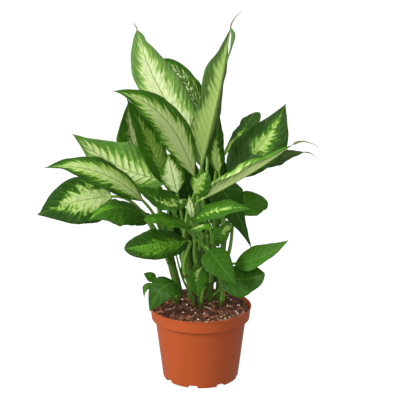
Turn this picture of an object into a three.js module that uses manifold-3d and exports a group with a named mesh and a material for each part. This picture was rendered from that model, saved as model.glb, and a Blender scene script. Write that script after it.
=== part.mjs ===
// Potted dieffenbachia: a clump of leafy canes standing in potting mix in a thin moulded nursery pot.
// Millimetres, +Z up. The origin is the middle of the pot's underside, on the surface it stands on.
// Seen from -Y, the plant shows the side that the leaf list below is written for.
import * as THREE from 'three';
import { mergeVertices } from 'three/addons/utils/BufferGeometryUtils.js';
import Module from 'manifold-3d';

const wasm = await Module();
wasm.setup();

// Pot: a six inch azalea pot.
const RIM_RADIUS = 77.5;
const POT_HEIGHT = 114;
const BASE_RADIUS = 57.5;
const WALL = 1.8;
const FLOOR = 3;
const BAND_HEIGHT = 21;
const BAND_RADIUS = 74.7;
const BODY_TOP_RADIUS = 68.9;
const BASE_ROUNDING = 3;
const NOTCHES = 8;
const NOTCH = { width: 15, depth: 16, height: 5 };
const POT_SIDES = 40;

// Potting mix: level with a low mound round the canes.
const CLEAR = 0.3;
const SOIL_EDGE = 107;
const SOIL_MOUND = { x: 0, y: 22, rise: 6, spread: 32 };
const SOIL_RINGS = 8;
const SOIL_SIDES = 28;

// Canes.
const STEM_SIDES = 8;
const STEM_SHOULDER = 0.985;

// Leaf blades.
const BLADE_THICKNESS = 0.9;
const RIB_DEPTH = 2.2;
const RIPPLES = 2.5;
const PETIOLE_STEPS = [0, 0.15, 0.4, 0.7];
const LARGE_STEPS = [0, 0.05, 0.17, 0.34, 0.52, 0.7, 0.86, 1];
const SMALL_STEPS = [0, 0.08, 0.27, 0.5, 0.75, 1];
const ACROSS = [-1, -0.5, 0, 0.5, 1];
const TAIL_HALF_WIDTH = 0.6;
const TAIL_STEPS = [0.35, 0.7, 1];

const FINISH = {
  pot: new THREE.MeshStandardMaterial({ color: 0xb65632, roughness: 0.55, metalness: 0 }),
  soil: new THREE.MeshStandardMaterial({ color: 0x4a2c20, roughness: 0.95, metalness: 0 }),
  stem: new THREE.MeshStandardMaterial({ color: 0x4d7d33, roughness: 0.5, metalness: 0 }),
  variegated: new THREE.MeshStandardMaterial({ color: 0xa9c47a, roughness: 0.4, metalness: 0 }),
  green: new THREE.MeshStandardMaterial({ color: 0x2f6b22, roughness: 0.4, metalness: 0 }),
};

// Canes: where each passes, from its buried foot to its growing tip, and its radius at foot and tip.
const STEMS = {
  left: { path: [[-30, 42, 62], [-34, 41, 118], [-45.5, 33, 175], [-53, 26, 226]], radius: [7, 6.2] },
  left_thin: { path: [[-8, 6, 66], [-11, 7, 116], [-24, 9, 165], [-34, 12, 205]], radius: [3.6, 2.8] },
  centre_left: { path: [[-13, 30, 60], [-15, 30, 118], [-18, 28, 175], [-21, 24, 234]], radius: [5.6, 4] },
  centre: { path: [[1, 44, 60], [0, 43, 118], [-2, 39, 185], [-4, 32, 262]], radius: [5.6, 4] },
  centre_front: { path: [[1, 7, 60], [1, 7, 118], [-3, 0, 170], [-9, -10, 214]], radius: [4.6, 3.4] },
  centre_right: { path: [[13, 19, 60], [13, 19, 118], [13, 9, 170], [10, -5, 228]], radius: [5, 3.8] },
  right: { path: [[27, 30, 60], [27, 30, 118], [32, 28, 175], [40, 24, 240]], radius: [5.6, 4] },
  right_inner: { path: [[16, 45, 60], [16, 44, 118], [19, 42, 175], [23, 38, 232]], radius: [4.6, 3.6] },
  low_right: { path: [[31, 10, 70], [32, 10, 114], [34, 4, 138]], radius: [4, 3.2] },
  low_front: { path: [[0, -8, 70], [-1, -9, 112], [-1, -14, 130]], radius: [3.4, 2.8] },
  low_left: { path: [[-34, 16, 70], [-35, 15, 112], [-38, 8, 128]], radius: [3.6, 2.8] },
};

// Leaves. node is the height on its cane that the stalk leaves from. base, mid and tip are three
// points of the midrib, face is the way the upper surface looks, fold lifts each half (degrees),
// curl bends it on towards the edge, wave is the height of the ripple in the edge. trim draws the two
// margins in or out: at each share of the length, a factor for the half at q = -1 and for the other.
const LEAVES = [
  // Crown: the young upright leaves.
  { name: 'crown_left', stem: 'centre', node: 250, base: [-8, 10, 365], mid: [-64, 22, 451],
    tip: [-94, 42, 530], width: 70, face: [0.1, -1, 0.3], fold: 8, curl: -14, wave: 1.5,
    tail: [-100, 44, 538],
    trim: [[0, 1, 1], [0.3, 0.88, 1], [0.48, 0.8, 1], [0.66, 1.06, 1], [0.8, 1.17, 0.97],
      [0.88, 1.15, 0.84], [0.95, 1.3, 1.4], [1, 1, 1]] },
  { name: 'crown_back', stem: 'centre', node: 222, base: [0, 44, 350], mid: [-17, 55, 437],
    tip: [-62, 72, 480], width: 50, face: [0.3, -1, 0.4], fold: 8, curl: -20, wave: 2,
    leaves: [0.6, 1],
    trim: [[0, 1, 1], [0.35, 1, 0.85], [0.6, 1, 0.8], [0.8, 1, 1], [0.92, 1, 1.3], [1, 1, 1]] },
  { name: 'crown_right', stem: 'centre', node: 236, base: [1, -16, 336], mid: [25, -22, 440],
    tip: [43, -12, 540], width: 60, face: [-0.6, 0.8, 0], fold: 40, curl: -10, wave: 2,
    tail: [58, -10, 563], leaves: [0.8, -0.6],
    trim: [[0, 1, 1], [0.15, 1.1, 1.05], [0.5, 0.85, 0.92], [0.6, 0.85, 1.08], [0.68, 0.82, 1.2],
      [0.75, 0.68, 1.2], [0.83, 0.4, 1], [0.92, 0.25, 1], [1, 1, 1]] },
  // Left side, from the top down.
  { name: 'left_arching', stem: 'centre_left', node: 222, base: [-10, -26, 325],
    mid: [-53, -60, 419], tip: [-123, -80, 462], width: 54, face: [0.25, -0.8, 0.6],
    fold: 8, curl: -22, wave: 2, belly: 0.4, tipPower: 1.2,
    trim: [[0, 1, 1], [0.7, 1, 1.05], [0.85, 0.85, 1.15], [0.95, 0.7, 1.3], [1, 1, 1]] },
  { name: 'left_narrow', stem: 'left_thin', node: 198, base: [-51, -5, 308],
    mid: [-79, -14, 376], tip: [-107, -20, 438], width: 46, face: [0.6, -0.7, 0.3],
    fold: 12, curl: -10, wave: 2, leaves: [-1, 0.2] },
  { name: 'left_rear', stem: 'centre_left', node: 206, base: [-79, 62, 291],
    mid: [-104, 60, 353], tip: [-109, 51, 416], width: 56, face: [0.5, -0.8, 0.2],
    fold: 12, curl: -10, wave: 2, leaves: [-0.6, 1],
    trim: [[0, 1, 1], [0.35, 1.03, 1], [0.6, 1.14, 1], [0.85, 1.1, 1], [1, 1, 1]] },
  { name: 'left_high', stem: 'left', node: 218, base: [-50, 5, 309], mid: [-121, 5, 330],
    tip: [-189, 0, 381], width: 76, face: [0, -0.75, 0.65], fold: 16, curl: -8, wave: 2,
    tipPower: 1.2, belly: 0.4,
    trim: [[0, 1, 1], [0.55, 1, 1.04], [0.8, 0.9, 1.03], [0.9, 0.72, 1], [0.97, 0.8, 1.3], [1, 1, 1]] },
  { name: 'left_middle', stem: 'left', node: 205, base: [-84, -30, 286], mid: [-147, -60, 338],
    tip: [-223, -80, 350], width: 50, face: [0.1, -0.65, 0.75], fold: 8, curl: -20, wave: 2.5,
    tipPower: 1.3, belly: 0.42,
    trim: [[0, 1, 1], [0.55, 1, 1.05], [0.75, 0.9, 1.2], [0.87, 0.5, 1.4], [0.95, 0.45, 1.45],
      [1, 1, 1]] },
  { name: 'left_low', stem: 'left', node: 190, base: [-132, -10, 288], mid: [-187, -25, 283],
    tip: [-240, -40, 268], width: 74, face: [0, -0.85, 0.5], fold: 5, curl: -14, wave: 1.5,
    leaves: [-1, -0.2],
    trim: [[0, 1, 1], [0.12, 1.12, 1], [0.3, 1, 1], [0.5, 1, 1.05], [0.8, 1, 1.05],
      [0.9, 1, 0.9], [0.96, 0.95, 0.55], [1, 1, 1]] },
  { name: 'left_bright', stem: 'left', node: 174, base: [-81, -30, 260], mid: [-121, -60, 285],
    tip: [-162, -75, 270], width: 50, face: [0, -0.6, 0.8], fold: -4, curl: -26, wave: 2,
    finish: 'green',
    trim: [[0, 1, 1], [0.25, 1, 0.95], [0.5, 1.25, 0.92], [0.75, 1.3, 0.95], [1, 1, 1]] },
  { name: 'left_hidden', stem: 'left', node: 200, base: [-70, 38, 238], mid: [-104, 52, 241],
    tip: [-134, 66, 232], width: 44, face: [0, -0.5, 0.85], fold: 8, curl: -14, wave: 1.5,
    finish: 'green', leaves: [-0.8, 0.7],
    trim: [[0, 1, 0.4], [0.25, 1, 0.45], [0.5, 1, 0.9], [1, 1, 1]] },
  // Middle, facing front.
  { name: 'heart_pale', stem: 'centre_left', node: 214, base: [-35, -29, 300],
    mid: [-41, -43, 332], tip: [-47, -56, 365], width: 42, face: [0.15, -0.9, 0.45],
    fold: 10, curl: -18, wave: 1, belly: 0.42, leaves: [-0.4, -1],
    trim: [[0, 0.9, 1], [0.35, 0.86, 0.9], [0.55, 1, 0.85], [0.8, 1, 0.8], [1, 1, 1]] },
  { name: 'front_dark', stem: 'left_thin', node: 178, base: [-28, -39, 290],
    mid: [-58, -66, 297], tip: [-92, -73, 321], width: 50, face: [0.1, -0.5, 0.85],
    fold: 24, curl: -10, wave: 2, leaves: [0.5, -1],
    trim: [[0, 1, 0.95], [0.4, 1.1, 0.9], [0.75, 1.4, 1], [0.92, 1.2, 1], [1, 1, 1]] },
  { name: 'front_flat', stem: 'centre_front', node: 184, base: [-16, -44, 252],
    mid: [-50, -75, 270], tip: [-82, -88, 275], width: 38, face: [0.1, -0.35, 0.95],
    tipPower: 0.75, fold: 12, curl: -16, wave: 1.5, finish: 'green', leaves: [-0.4, -1] },
  { name: 'front_oval', stem: 'left_thin', node: 160, base: [-20, -40, 228],
    mid: [-65, -79, 236], tip: [-110, -95, 233], width: 50, face: [0, -0.75, 0.65],
    belly: 0.48, tipPower: 0.62, fold: 4, curl: -14, wave: 1.5, finish: 'green',
    leaves: [0, -1],
    trim: [[0, 1, 1], [0.45, 1, 1], [0.7, 1, 0.88], [0.85, 1, 0.85], [1, 1, 1]] },
  { name: 'new_rolled', stem: 'centre_front', node: 202, base: [-12, -59, 271],
    mid: [-14, -67, 288], tip: [-17, -69, 306], width: 14, face: [0, -1, 0.2],
    fold: 10, curl: -30, wave: 0.5, stalk: [2.2, 1.3], leaves: [1, -0.3] },
  { name: 'front_right', stem: 'centre_right', node: 190, base: [-12, -60, 265],
    mid: [28, -82, 290], tip: [71, -96, 293], width: 34, face: [-0.1, -0.55, 0.8],
    fold: 8, curl: -18, wave: 1.5, belly: 0.42, leaves: [-0.3, -1], neck: 0.12 },
  { name: 'front_small', stem: 'centre_right', node: 172, base: [-10, -66, 255],
    mid: [4, -80, 262], tip: [18, -90, 262], width: 22, face: [0, -0.45, 0.9],
    fold: 10, curl: -12, wave: 1, stalk: [2.6, 1.6], leaves: [0.4, -1] },
  // Right side.
  { name: 'right_long', stem: 'centre_right', node: 212, base: [0, -40, 292],
    mid: [67, -60, 333], tip: [131, -76, 383], width: 48, face: [-0.3, 0, 0.95],
    fold: 48, curl: -10, wave: 2, tail: [169, -80, 380], leaves: [0.9, -0.5] },
  { name: 'centre_mottled', stem: 'centre_right', node: 220, base: [-8, -48, 304],
    mid: [2, -57, 322], tip: [11, -57, 341], width: 34, face: [-0.1, -0.9, 0.4],
    fold: 12, curl: -14, wave: 1, stalk: [2.4, 1.4], leaves: [-1, -0.2] },
  { name: 'right_broad', stem: 'right', node: 232, base: [41, 10, 318], mid: [87, 10, 358],
    tip: [125, 5, 425], width: 70, face: [-0.3, -0.85, 0.35], fold: 6, curl: -12, wave: 3,
    trim: [[0, 1, 0.6], [0.3, 1, 0.74], [0.5, 1, 1.1], [0.68, 1, 1.38], [0.8, 0.97, 1.5],
      [0.92, 1, 1.35], [1, 1, 1]] },
  { name: 'right_rear', stem: 'right_inner', node: 224, base: [34, 46, 336],
    mid: [66, 64, 374], tip: [82.5, 96, 392], width: 38, face: [-0.4, -0.4, 0.8], fold: 8,
    curl: -10, wave: 1.5, tipPower: 0.62, belly: 0.6, finish: 'green', leaves: [0, 1],
    trim: [[0, 1.3, 1], [0.3, 0.88, 1.1], [0.6, 0.76, 1.05], [1, 0.92, 1]] },
  { name: 'right_tipped', stem: 'right', node: 214, base: [58, 45, 302], mid: [109, 60, 326],
    tip: [158, 65, 337], width: 46, face: [0, -0.4, 0.9], fold: 8, curl: -10, wave: 2,
    finish: 'green', tail: [175, 66, 329], leaves: [0.6, 1],
    trim: [[0, 1, 0.6], [0.4, 1, 0.7], [0.6, 1, 0.85], [0.8, 1, 0.95], [1, 1, 1]] },
  { name: 'centre_dark', stem: 'right_inner', node: 208, base: [27, 16, 320], mid: [24, 26, 361],
    tip: [27, 45, 404], width: 36, face: [0.5, -0.8, 0.3], fold: 10, curl: -10, wave: 1.5,
    leaves: [1, -0.2],
    trim: [[0, 1, 0.9], [0.3, 1, 0.7], [0.6, 1, 0.75], [1, 1, 1]] },
  { name: 'right_drooping', stem: 'right_inner', node: 196, base: [22, -2, 304],
    mid: [46, -22, 280], tip: [75, -30, 215], width: 56, face: [0.3, -0.7, 0.5], fold: 8,
    curl: -14, wave: 2, finish: 'green', leaves: [0, -1], neck: 0.1,
    trim: [[0, 1, 1], [0.4, 0.95, 1], [0.6, 0.7, 0.9], [0.8, 0.44, 0.75], [0.92, 0.45, 0.7],
      [1, 1, 1]] },
  { name: 'right_round', stem: 'right', node: 174, base: [52, 34, 249.5], mid: [75, 55, 260],
    tip: [96, 80, 262.5], width: 50, face: [-0.4, -0.8, 0.4], fold: 6, curl: -12, wave: 1.5,
    belly: 0.55, tipPower: 0.5, finish: 'green', leaves: [1, 0.3], neck: 0.1,
    trim: [[0, 0.7, 1.2], [0.35, 0.85, 1.15], [0.6, 1, 1.05], [1, 1, 1]] },
  { name: 'inner_pale', stem: 'right_inner', node: 160, base: [20, 5, 211], mid: [32, 10, 224],
    tip: [50, 10, 239], width: 28, face: [-0.3, -0.8, 0.4], fold: 10, curl: -10, wave: 1,
    leaves: [0.1, -1] },
  // Back, out of the front view.
  { name: 'back_high', stem: 'centre', node: 206, base: [6, 92, 342], mid: [-20, 128, 380],
    tip: [-46, 168, 370], width: 58, face: [0, 0.3, 1], fold: 8, curl: -12, wave: 2,
    leaves: [-0.1, 1] },
  { name: 'back_left', stem: 'left', node: 182, base: [-76, 86, 275], mid: [-100, 120, 300],
    tip: [-130, 155, 288], width: 58, face: [0, 0.2, 1], fold: 8, curl: -12, wave: 2,
    leaves: [-0.3, 1] },
  { name: 'back_right', stem: 'right_inner', node: 194, base: [54, 80, 288],
    mid: [80, 114, 311], tip: [100, 150, 292], width: 56, face: [0, 0.2, 1], fold: 8,
    curl: -12, wave: 2, leaves: [0.8, 0.5] },
  { name: 'back_low', stem: 'centre_left', node: 146, base: [-8, 60, 160], mid: [-8, 78, 202],
    tip: [-8, 84, 240], width: 62, face: [0, -1, 0.4], fold: 8, curl: -14, wave: 2,
    belly: 0.42, tipPower: 0.9, finish: 'green', leaves: [0.1, 1] },
  { name: 'back_young', stem: 'right_inner', node: 120, base: [6, 64, 120], mid: [2, 76, 152],
    tip: [-4, 88, 190], width: 68, face: [0, -1, 0.4], fold: 8, curl: -14, wave: 2,
    belly: 0.45, tipPower: 0.8, finish: 'green', leaves: [-0.4, 1] },
  { name: 'inner_left', stem: 'centre', node: 190, base: [-11, 60, 256], mid: [-28, 68, 306],
    tip: [-34, 74, 358], width: 54, face: [0.1, -1, 0.3], fold: 8, curl: -14, wave: 2,
    finish: 'green', leaves: [-1, 0.7] },
  { name: 'inner_right', stem: 'centre', node: 176, base: [18, 88, 236], mid: [21, 100, 290],
    tip: [18, 108, 346], width: 52, face: [0, -1, 0.2], fold: 8, curl: -14, wave: 2,
    finish: 'green', leaves: [0.3, 1] },
  { name: 'inner_low', stem: 'centre_left', node: 170, base: [-25, 56, 206],
    mid: [-35, 62, 236], tip: [-48, 62, 266], width: 40, face: [0, -1, 0.3], fold: 8,
    curl: -14, wave: 2, finish: 'green', leaves: [-0.6, 1] },
  // Low leaves of the young shoots.
  { name: 'low_right_pointed', stem: 'right', node: 150, base: [52, -31, 190],
    mid: [90, -55, 208], tip: [128, -64, 237], width: 38, face: [-0.2, -0.75, 0.65],
    fold: 8, curl: -14, wave: 1, finish: 'green', leaves: [0.8, -1],
    trim: [[0, 1.3, 0.85], [0.25, 1.18, 0.85], [0.6, 1.12, 0.5], [1, 1, 0.7]] },
  { name: 'low_right_heart', stem: 'low_right', node: 122, base: [34, -26, 170],
    mid: [63, -37, 167], tip: [95, -47, 180], width: 54, face: [0, -0.85, 0.55], belly: 0.46,
    tipPower: 0.7, fold: 4, curl: -14, wave: 2, finish: 'green', leaves: [0.2, -1],
    trim: [[0, 1, 1], [0.5, 1, 1], [0.75, 1.1, 0.84], [1, 1, 0.9]] },
  { name: 'low_front_heart', stem: 'centre_right', node: 148, base: [12, -46, 216],
    mid: [30, -65, 197], tip: [53, -76, 172], width: 43, face: [-0.1, -0.7, 0.7], belly: 0.3,
    fold: 4, curl: -12, wave: 1, finish: 'green', leaves: [0.3, -1] },
  { name: 'low_front_small', stem: 'low_front', node: 124, base: [2, -44, 188],
    mid: [-5, -53, 170], tip: [-3, -60, 147], width: 32, face: [0.4, -0.8, 0.4],
    fold: 14, curl: -10, wave: 0.5, stalk: [2.4, 1.5], leaves: [0.3, -1] },
  { name: 'low_left_rim', stem: 'low_left', node: 124, base: [-35, -20, 154],
    mid: [-57, -44, 156], tip: [-76, -43, 119], width: 48, face: [-0.3, -0.7, 0.6], belly: 0.4,
    tipPower: 0.9, fold: 4, curl: -12, wave: 1, finish: 'green', leaves: [0.2, -1],
    trim: [[0, 1, 0.9], [0.25, 1, 0.86], [0.55, 1, 0.88], [0.85, 1, 1.05], [1, 1, 1]] },
  { name: 'low_left_tiny', stem: 'low_left', node: 116, base: [-68, -3, 155],
    mid: [-77, -4, 161], tip: [-86, -5, 166], width: 15, face: [-0.2, -0.8, 0.5],
    fold: 8, curl: -10, wave: 0.5, stalk: [2, 1.2], finish: 'green', leaves: [-1, 0.2],
    neck: 0.1 },
  { name: 'low_left_curl', stem: 'low_left', node: 113, base: [-71, -12, 147],
    mid: [-82, -14, 146], tip: [-85, -14, 131], width: 12, face: [-0.6, -0.7, 0.4],
    fold: 20, curl: -10, wave: 0.5, stalk: [1.8, 1.1], finish: 'green', leaves: [-1, -0.8],
    neck: 0.1 },
];

const vector = (p) => new THREE.Vector3(...p);
const radians = (degrees) => THREE.MathUtils.degToRad(degrees);
const mix = (a, b, t) => a + (b - a) * t;

function solidOf(geometry) {
  const bare = geometry.clone();
  bare.deleteAttribute('normal');
  bare.deleteAttribute('uv');
  const merged = mergeVertices(bare, 1e-4);
  return new wasm.Manifold(new wasm.Mesh({
    numProp: 3,
    vertProperties: merged.attributes.position.array,
    triVerts: new Uint32Array(merged.index.array),
  }));
}

function geometryOf(solid) {
  const mesh = solid.getMesh();
  const geometry = new THREE.BufferGeometry();
  geometry.setAttribute('position', new THREE.BufferAttribute(mesh.vertProperties, 3));
  geometry.setIndex(new THREE.BufferAttribute(mesh.triVerts, 1));
  geometry.computeVertexNormals();
  return geometry;
}

// A closed skin over rings of points that all have the same count, anticlockwise seen from the last.
function loft(rings) {
  const count = rings[0].length;
  const positions = rings.flat().flatMap((p) => [p.x, p.y, p.z]);
  const faces = [];
  for (let i = 0; i + 1 < rings.length; i++) {
    for (let k = 0; k < count; k++) {
      const a = i * count + k;
      const b = i * count + ((k + 1) % count);
      // The under face is split the same way as the upper one above it.
      if (k < count / 2) faces.push(a, b, b + count, a, b + count, a + count);
      else faces.push(a, b, a + count, b, b + count, a + count);
    }
  }
  const last = (rings.length - 1) * count;
  for (let k = 0; k < count / 2 - 1; k++) {
    const across = count - 1 - k;
    faces.push(k, across, k + 1, k + 1, across, across - 1);
    faces.push(last + k, last + k + 1, last + across, last + k + 1, last + across - 1, last + across);
  }
  const geometry = new THREE.BufferGeometry();
  geometry.setAttribute('position', new THREE.Float32BufferAttribute(positions, 3));
  geometry.setIndex(faces);
  return geometry;
}

function named(name, geometry, material) {
  const mesh = new THREE.Mesh(geometry, material);
  mesh.name = name;
  return mesh;
}

// Pot

function potProfile() {
  const top = POT_HEIGHT;
  const band = top - BAND_HEIGHT;
  return [
    [0, 0], [BASE_RADIUS - BASE_ROUNDING, 0], [BASE_RADIUS - 0.8, 0.8], [BASE_RADIUS, BASE_ROUNDING],
    [BODY_TOP_RADIUS, band - 1], [BAND_RADIUS - 1.2, band + 1.6], [BAND_RADIUS, band + 4],
    [RIM_RADIUS - 0.8, top - 1.2], [RIM_RADIUS - 1, top], [RIM_RADIUS - 1.8, top],
    [RIM_RADIUS - 1 - WALL, top - 1], [BAND_RADIUS - WALL, band + 5], [BODY_TOP_RADIUS - WALL, band],
    [BASE_RADIUS - WALL, FLOOR], [0, FLOOR],
  ].map(([x, y]) => new THREE.Vector2(x, y));
}

// Drainage notches are cut through the corner of wall and floor, all round.
function pot() {
  const cup = new THREE.LatheGeometry(potProfile(), POT_SIDES).rotateX(Math.PI / 2);
  let solid = solidOf(cup);
  for (let i = 0; i < NOTCHES; i++) {
    const turn = ((i + 0.73) / NOTCHES) * 2 * Math.PI;
    const reach = BASE_RADIUS + 1 - NOTCH.depth / 2;
    const block = new THREE.BoxGeometry(NOTCH.depth, NOTCH.width, 2 * NOTCH.height);
    block.translate(reach, 0, 0).rotateZ(turn);
    solid = solid.subtract(solidOf(block));
  }
  return named('pot', geometryOf(solid), FINISH.pot);
}

// Potting mix

function innerRadius(z) {
  const band = POT_HEIGHT - BAND_HEIGHT;
  if (z > band + 5) return mix(BAND_RADIUS, RIM_RADIUS - 1, (z - band - 5) / (BAND_HEIGHT - 6)) - WALL;
  if (z > band) return mix(BODY_TOP_RADIUS, BAND_RADIUS, (z - band) / 5) - WALL;
  return mix(BASE_RADIUS, BODY_TOP_RADIUS, (z - FLOOR) / (band - FLOOR)) - WALL;
}

function soilHeight(x, y) {
  const far = Math.hypot(x - SOIL_MOUND.x, y - SOIL_MOUND.y) / SOIL_MOUND.spread;
  const mound = SOIL_MOUND.rise * Math.exp(-far * far / 2);
  const lumps = Math.sin(x * 0.31 + 1.3) * Math.cos(y * 0.27) + Math.sin(x * 0.17 - y * 0.23);
  return SOIL_EDGE + mound + 0.8 * lumps;
}

function soil(stems) {
  const rings = [];
  const ringAt = (radius, height) => Array.from({ length: SOIL_SIDES }, (_, k) => {
    const turn = (k / SOIL_SIDES) * 2 * Math.PI;
    const [x, y] = [radius * Math.cos(turn), radius * Math.sin(turn)];
    return new THREE.Vector3(x, y, height === undefined ? soilHeight(x, y) : height);
  });
  const band = POT_HEIGHT - BAND_HEIGHT;
  for (const z of [FLOOR + CLEAR, band + 0.2, band + 6.5, SOIL_EDGE - 3]) {
    rings.push(ringAt(innerRadius(z) - 1.2, z));
  }
  for (let i = SOIL_RINGS; i > 0; i--) {
    rings.push(ringAt((i / SOIL_RINGS) * (innerRadius(SOIL_EDGE) - 1.2)));
  }
  const positions = rings.flat().flatMap((p) => [p.x, p.y, p.z]);
  const faces = [];
  for (let i = 0; i + 1 < rings.length; i++) {
    for (let k = 0; k < SOIL_SIDES; k++) {
      const a = i * SOIL_SIDES + k;
      const b = i * SOIL_SIDES + ((k + 1) % SOIL_SIDES);
      faces.push(a, b, b + SOIL_SIDES, a, b + SOIL_SIDES, a + SOIL_SIDES);
    }
  }
  const under = positions.push(0, 0, FLOOR + CLEAR) / 3 - 1;
  const top = positions.push(0, 0, soilHeight(0, 0)) / 3 - 1;
  const last = (rings.length - 1) * SOIL_SIDES;
  for (let k = 0; k < SOIL_SIDES; k++) {
    const next = (k + 1) % SOIL_SIDES;
    faces.push(under, next, k, top, last + k, last + next);
  }
  const geometry = new THREE.BufferGeometry();
  geometry.setAttribute('position', new THREE.Float32BufferAttribute(positions, 3));
  geometry.setIndex(faces);
  let solid = solidOf(geometry);
  for (const stem of Object.values(stems)) solid = solid.subtract(solidOf(stemSkin(stem, CLEAR)));
  return named('potting_mix', geometryOf(solid), FINISH.soil);
}

// Canes

const stemCurve = (stem) => new THREE.CatmullRomCurve3(stem.path.map(vector), false, 'centripetal');

function stemRadius(stem, t) {
  return mix(stem.radius[0], stem.radius[1], t);
}

// The two directions across a cane that its corners are counted from.
function stemSides(along) {
  const side = new THREE.Vector3(1, 0, 0).projectOnPlane(along).normalize();
  return [side, along.clone().cross(side)];
}

// Full thickness up to the shoulder, then a blunt end.
function stemSkin(stem, extra) {
  const curve = stemCurve(stem);
  const steps = stem.path.length + 1;
  const stations = Array.from({ length: steps + 1 }, (_, i) => (i / steps) * STEM_SHOULDER);
  const rings = [...stations, 1].map((t) => {
    const centre = curve.getPointAt(t);
    const along = curve.getTangentAt(t);
    const [side, other] = stemSides(along);
    const radius = stemRadius(stem, t) * (t === 1 ? 0.6 : 1) + extra;
    if (t === 0) centre.addScaledVector(along, -extra);
    return Array.from({ length: STEM_SIDES }, (_, k) => {
      const turn = ((k + 0.5) / STEM_SIDES) * 2 * Math.PI;
      return centre.clone().addScaledVector(side, radius * Math.cos(turn))
        .addScaledVector(other, radius * Math.sin(turn));
    });
  });
  return loft(rings);
}

// How far from a cane's middle a round stalk stands so that it just clears the flat or corner it faces.
function seatDistance(seat, outward, thick) {
  const [side, other] = stemSides(seat.along);
  const facet = (2 * Math.PI) / STEM_SIDES;
  const turn = Math.atan2(outward.dot(other), outward.dot(side));
  const off = turn - Math.round(turn / facet) * facet;
  const flat = (seat.radius * Math.cos(facet / 2) + thick + CLEAR) / Math.cos(off);
  return Math.min(seat.radius + thick + CLEAR, flat);
}

// The cane's centre, direction and radius at a height.
function stemAt(stem, height) {
  const curve = stemCurve(stem);
  let t = 0;
  while (t < 1 && curve.getPointAt(t).z < height) t += 0.005;
  t = Math.min(t, 1);
  return { centre: curve.getPointAt(t), along: curve.getTangentAt(t), radius: stemRadius(stem, t) };
}

// Leaves: a stalk that widens into the blade, as one skin.

function midrib(leaf) {
  const [base, mid, tip] = [leaf.base, leaf.mid, leaf.tip].map(vector);
  const control = mid.clone().multiplyScalar(2).sub(base.clone().add(tip).multiplyScalar(0.5));
  return new THREE.QuadraticBezierCurve3(base, control, tip);
}

// Half the width at s along the blade, as a share of the widest: round at the base, drawn out at the tip.
function outline(leaf, s) {
  const tipPower = leaf.tipPower ?? 1.05;
  const belly = leaf.belly ?? 0.36;
  const basePower = (tipPower * belly) / (1 - belly);
  const peak = belly ** basePower * (1 - belly) ** tipPower;
  return (s ** basePower * (1 - s) ** tipPower) / peak;
}

function bladeFrame(leaf, curve, s) {
  const centre = curve.getPoint(s);
  const along = curve.getTangent(s).normalize();
  const normal = vector(leaf.face).projectOnPlane(along).normalize();
  return { centre, along, normal, across: along.clone().cross(normal) };
}

// How far a margin is drawn in or out at s, as a share of the outline: for the margin at q = -1 or 1.
function trimmed(leaf, s, side) {
  const rows = leaf.trim ?? [[0, 1, 1], [1, 1, 1]];
  const i = Math.max(1, rows.findIndex(([end]) => end >= s));
  const [low, high] = [rows[i - 1], rows[i]];
  const column = side > 0 ? 2 : 1;
  return mix(low[column], high[column], (s - low[0]) / (high[0] - low[0]));
}

function bladeRing(leaf, frame, s, stalk) {
  const widest = Math.max((leaf.width / 2) * outline(leaf, s), mix(stalk, TAIL_HALF_WIDTH, s));
  const fold = radians(leaf.fold);
  const curl = radians(leaf.curl);
  const ripple = leaf.wave * Math.sin(Math.PI * s);
  const point = (q, upper) => {
    const share = Math.abs(q);
    const side = Math.sign(q);
    const half = widest * trimmed(leaf, s, side);
    const lean = fold + curl * share;
    const out = (half * (Math.sin(lean) - Math.sin(fold))) / curl;
    const phase = 2 * Math.PI * RIPPLES * s + (q < 0 ? 1.9 : 0) + leaf.width;
    const rise = (half * (Math.cos(fold) - Math.cos(lean))) / curl + ripple * q * q * Math.sin(phase);
    const rib = q === 0 ? RIB_DEPTH * (1 - s) : 0;
    const depth = upper ? BLADE_THICKNESS / 2 : -BLADE_THICKNESS / 2 - rib;
    return frame.centre.clone()
      .addScaledVector(frame.across, side * (out - depth * Math.sin(lean)))
      .addScaledVector(frame.normal, rise + depth * Math.cos(lean));
  };
  return [...ACROSS.map((q) => point(q, true)), ...[...ACROSS].reverse().map((q) => point(q, false))];
}

function stalkRing(frame, radius) {
  return Array.from({ length: 10 }, (_, k) => {
    const turn = ((k + 0.5) / 10) * 2 * Math.PI;
    return frame.centre.clone().addScaledVector(frame.across, -radius * Math.cos(turn))
      .addScaledVector(frame.normal, radius * Math.sin(turn));
  });
}

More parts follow.
